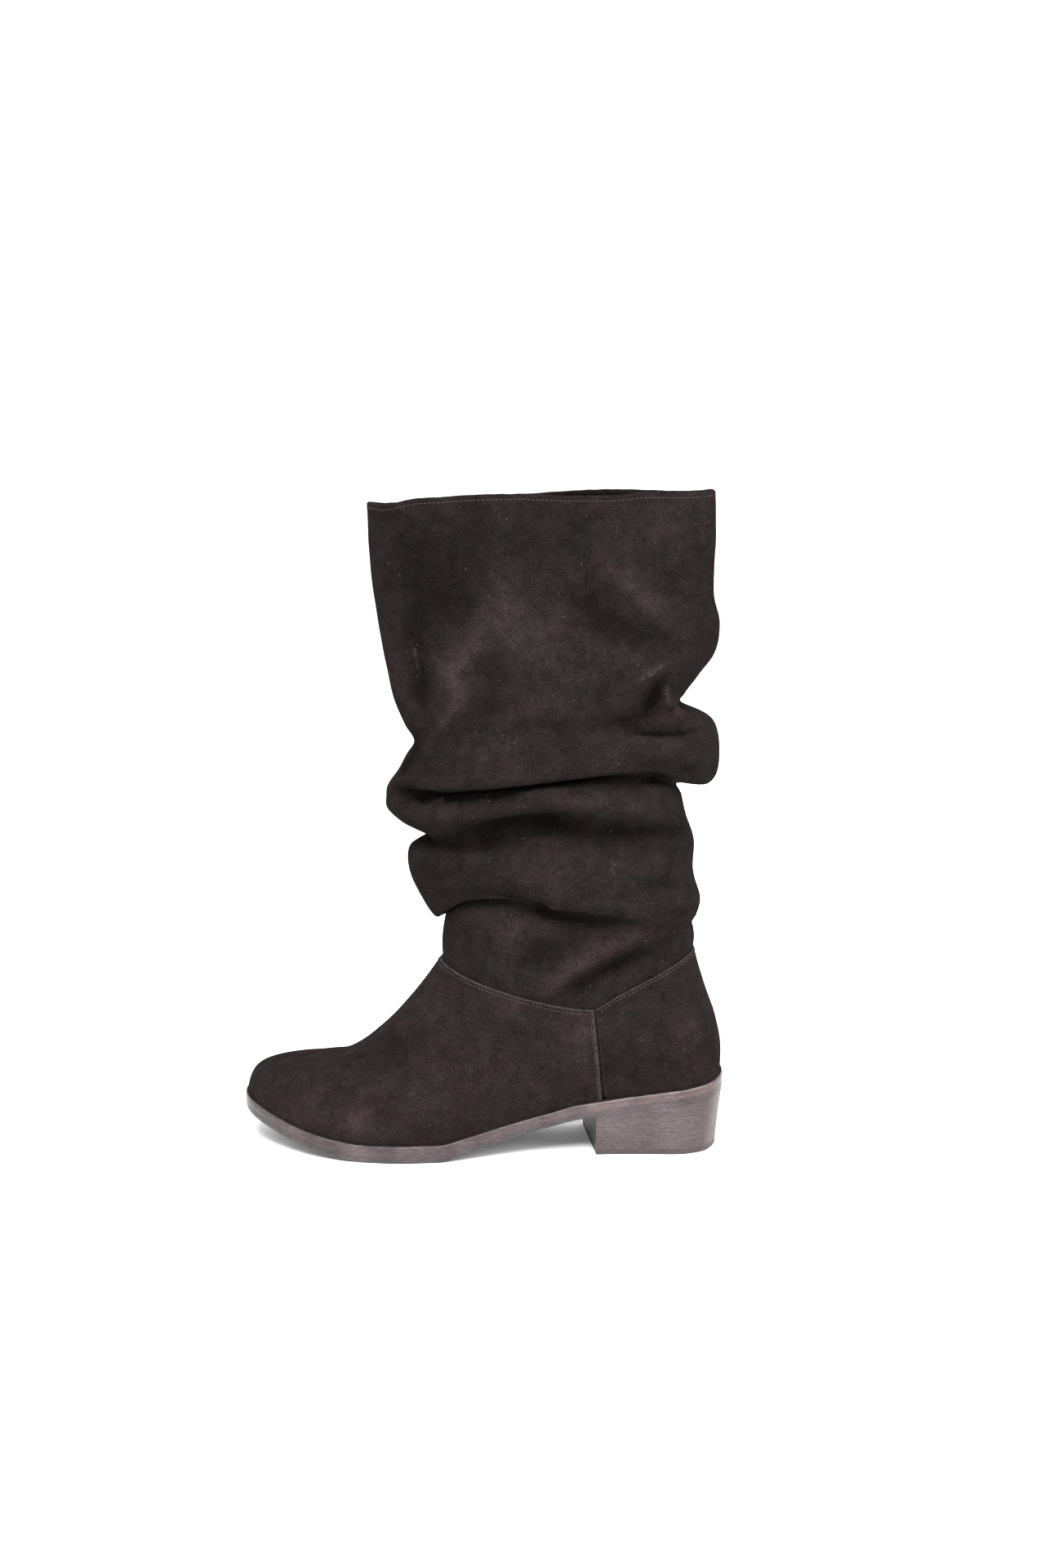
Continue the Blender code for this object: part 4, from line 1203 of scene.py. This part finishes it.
def side_seam(grid, out, column, step):
    """Path of the stitch row beside a side seam, inward from a column."""
    picked = (column + step * np.arange(WALK_COLUMNS)) % grid.shape[1]
    path = walk(grid[:, picked], VAMP_STITCH)
    return path[SIDE_SEAM_ROWS], out[SIDE_SEAM_ROWS, column], False


def sole_ring(inset, share, drop):
    """A ring round the sole, at a share of its thickness from the top."""
    at, side, _ = columns()
    if share == 1.0:
        inset, drop = inset * open_share(at), drop * open_share(at)
    x, y = sole_plan(at, side, inset)
    low, high = sole_heights(x)
    return np.roll(np.stack([x, y, high + (low - high) * share - drop], axis=1), -1, axis=0)


def open_share(at):
    """1 where the sole's lower edge is free, 0 over the heel block."""
    return np.clip((heel_start(-1) - at) / 0.01, 0, 1)


def build_outsole(materials):
    rings = [sole_ring(*row[:3]) for row in SOLE_EDGE]
    cap = SIDE_COLUMNS - 1
    tones = [row[3] for row in SOLE_EDGE[:-1] for _ in rings[0]] + [0] * cap + [2] * cap
    finish_piece(stack("sole", rings, materials, tones), "sole_leather", "outsole")


def build_rand(out, material):
    """A thin dark bead in the groove between suede and sole."""
    at, side, _ = columns()
    x, y = sole_plan(at, side, LEDGE - GAP)
    centre = np.stack([x, y, sole_heights(x)[1] + RAND_RADIUS * RAND_RISE], axis=1)
    level = unit(out[0] * (1, 1, 0))
    reach = RAND_RADIUS * (1 + lumps(centre, RAND_WAVE))[:, None]
    rings = []
    for turn in np.linspace(0, 2 * np.pi, 9):
        rings.append(centre + reach * (level * np.cos(turn) + np.array([0, 0, 1]) * np.sin(turn)))
    finish_piece(grid_object("rand", np.array(rings), True, [material]), "suede")


def build_sock(material):
    inset = LEDGE + OVERLAY + GAP + WALL + GAP
    top = -2 * GAP - INSOLE_THICKNESS
    rings = [sole_ring(inset + inward, 0.0, top + drop) for inward, drop in SOCK_EDGE]
    rings.append(sole_ring(inset, 0.0, -2 * GAP))
    finish_piece(stack("sock_lining", rings, [material]), "sock", "insole")


def heel_start(side):
    """Where the heel breast meets the sole's edge, as a share of the way round a side."""
    x, y = sole_plan(BREAST_SEARCH, side)
    breast = BREAST_X - BREAST_SKEW * (y + BALL_WIDTH * BREAST_CENTRE)
    return BREAST_SEARCH[np.argmin(abs(x - breast))]


def heel_ring(level, inset=0.0):
    """Plan of the heel at a level from 0 at its resting face to 1 under the sole."""
    outer_at, inner_at = (np.linspace(heel_start(side), 1, HEEL_COLUMNS) for side in (-1, 1))
    at = np.concatenate([outer_at, inner_at[-2::-1]])
    side = np.repeat((-1.0, 1.0), (HEEL_COLUMNS, HEEL_COLUMNS - 1))
    x, y = sole_plan(at, side, inset)
    narrow = HEEL_BOTTOM_WIDTH / (HEEL_SEAT_SHARE * BALL_WIDTH)
    shorter = (HEEL_BOTTOM_BACK_X - BREAST_X) / (SOLE_BACK_X - BREAST_X)
    share = level - HEEL_FLARE * level * (1 - level)
    x_low = np.where(x < BREAST_X, x, BREAST_X + (x - BREAST_X) * shorter)
    return x_low + (x - x_low) * share, y * (narrow + (1 - narrow) * share)


def build_heel(material):
    rings = []
    low = TOP_LIFT / HEEL_HEIGHT
    for level in np.linspace(1.0, low, HEEL_LEVELS):
        x, y = heel_ring(level)
        roof = sole_heights(x)[0] - CLEAR
        floor = TOP_LIFT + CLEAR
        rings.append(np.stack([x, y, floor + (roof - floor) * (level - low) / (1 - low)], axis=1))
    finish_piece(stack("heel_stack", rings, [material]), "stacked_leather", "heel_block")


def build_lift(material):
    rings = []
    for inset, z in ((0.0, TOP_LIFT), (0.0, 0.0004), (0.0004, 0.0)):
        x, y = heel_ring(z / HEEL_HEIGHT, inset)
        rings.append(np.stack([x, y, np.full_like(x, z)], axis=1))
    finish_piece(stack("lift", rings, [material]), "lift_rubber", "top_lift")


def build_boot():
    form, out = foot_form()
    sunk, shaft, nap_and_shading, tone = shaft_form(form, out)
    upper_suede = suede("suede", (0.0058, 0.0044, 0.0044), (0.0101, 0.0078, 0.0079))
    vamp_suede = suede("vamp_suede", (0.0072, 0.0053, 0.0053), (0.0122, 0.0091, 0.0090))
    counter_suede = suede("counter_suede", (0.0068, 0.0051, 0.0052), (0.0112, 0.0085, 0.0086))
    cut = raw_edge()
    yarn = thread("thread", (0.018, 0.0152, 0.0138), (0.042, 0.0358, 0.0328))
    dark_yarn = thread("dark_thread", (0.006, 0.0045, 0.0044), (0.011, 0.0085, 0.0084))
    side_yarn = thread("side_thread", (0.014, 0.0118, 0.011), (0.030, 0.0258, 0.024))
    shaft_out, up = build_shaft(sunk, shaft, nap_and_shading, tone, upper_suede)
    build_lining(sunk, shaft, shaft_out, up, lining_leather(), upper_suede)
    overlay("vamp_skin", form, out, -SEAM_COLUMN, SEAM_COLUMN, OVERLAY + GAP, 9,
            [vamp_suede, cut], "vamp_suede", "vamp")
    lowered = form - out * VAMP_STEP * seam_share()[None, :, None]
    last = 2 * SIDE_COLUMNS - SEAM_COLUMN
    overlay("counter_skin", lowered, out, SEAM_COLUMN + 1, last - 1, OVERLAY + GAP - VAMP_STEP, 4,
            [counter_suede, cut], "counter_suede", "heel_counter")
    back_seams = build_back_stay(shaft, shaft_out, upper_suede)
    hem = walk(shaft[::-1].transpose(1, 0, 2), HEM_STITCH_DROP)
    vamp_seam = edge_seam(form, out, -SEAM_COLUMN + 2, SEAM_COLUMN - 2, VAMP_STITCH)
    counter_seam = edge_seam(lowered, out, SEAM_COLUMN + 2, last - 2, COUNTER_STITCH)
    sides = [side_seam(form, out, SEAM_COLUMN, -1), side_seam(form, out, -SEAM_COLUMN, 1)]
    stitches("collar_stitches", [(hem, shaft_out[-6], True)], yarn, "suede")
    stitches("back_stitches", back_seams, dark_yarn, "suede")
    stitches("vamp_stitches", [vamp_seam], yarn, "vamp_suede")
    stitches("counter_stitches", [counter_seam], yarn, "counter_suede")
    stitches("side_stitches", sides, side_yarn, "vamp_suede")
    build_sock(sock_leather())
    build_rand(out, counter_suede)
    ledge = sole_leather("ledge_leather", (0.021, 0.0167, 0.0170), (0.048, 0.0392, 0.0398), 0.45, 2.2)
    edge = sole_leather("edge_leather", (0.0245, 0.0172, 0.0166), (0.052, 0.0383, 0.0372), 0.42, 1.55)
    low_edge = sole_leather("edge_leather_low", (0.019, 0.0145, 0.0152), (0.041, 0.0325, 0.0345),
                            0.44, 1.15)
    build_outsole([ledge, edge, low_edge])
    build_heel(stacked_leather())
    build_lift(lift_rubber())


def seam_share():
    """1 at the side seams, falling to 0 a little way beside them."""
    at, _, _ = columns()
    share = np.clip(1 - abs(at - SEAM_AT) / SEAM_FADE, 0, 1)
    return share * share * (3 - 2 * share)


def build_floor():
    half = FLOOR_SIZE / 2
    corners = [(-half, -half, 0), (half, -half, 0), (half, half, 0), (-half, half, 0)]
    material, _, _ = new_material("floor", (0.93, 0.93, 0.93), 0.9, 0.2)
    floor = mesh_object("floor", corners, [(0, 1, 2, 3)], [material])


def area_light(name, place, size, power):
    data = bpy.data.lights.new(name, "AREA")
    data.size = size
    data.energy = power
    lamp = bpy.data.objects.new(name, data)
    lamp.location = place
    lamp.rotation_euler = (Vector(LIT_POINT) - Vector(place)).to_track_quat("-Z", "Y").to_euler()
    bpy.context.scene.collection.objects.link(lamp)


def light_scene():
    world = bpy.data.worlds.new("studio")
    world.use_nodes = True
    background = world.node_tree.nodes["Background"]
    background.inputs["Color"].default_value = (*WHITE, 1)
    background.inputs["Strength"].default_value = WORLD_LIGHT
    bpy.context.scene.world = world
    area_light("key", (-0.15, -1.5, 2.1), 1.3, 165.0)
    area_light("side", (1.5, -0.9, 1.0), 0.9, 18.0)
    bpy.context.scene.view_settings.view_transform = "Standard"


def place_camera():
    data = bpy.data.cameras.new("camera")
    data.lens = CAMERA_LENS
    data.sensor_width = 36.0
    camera = bpy.data.objects.new("camera", data)
    camera.location = CAMERA_PLACE
    camera.rotation_euler = (radians(90 - CAMERA_DOWN), 0, 0)
    bpy.context.scene.collection.objects.link(camera)
    bpy.context.scene.camera = camera


build_boot()
build_floor()
light_scene()
place_camera()
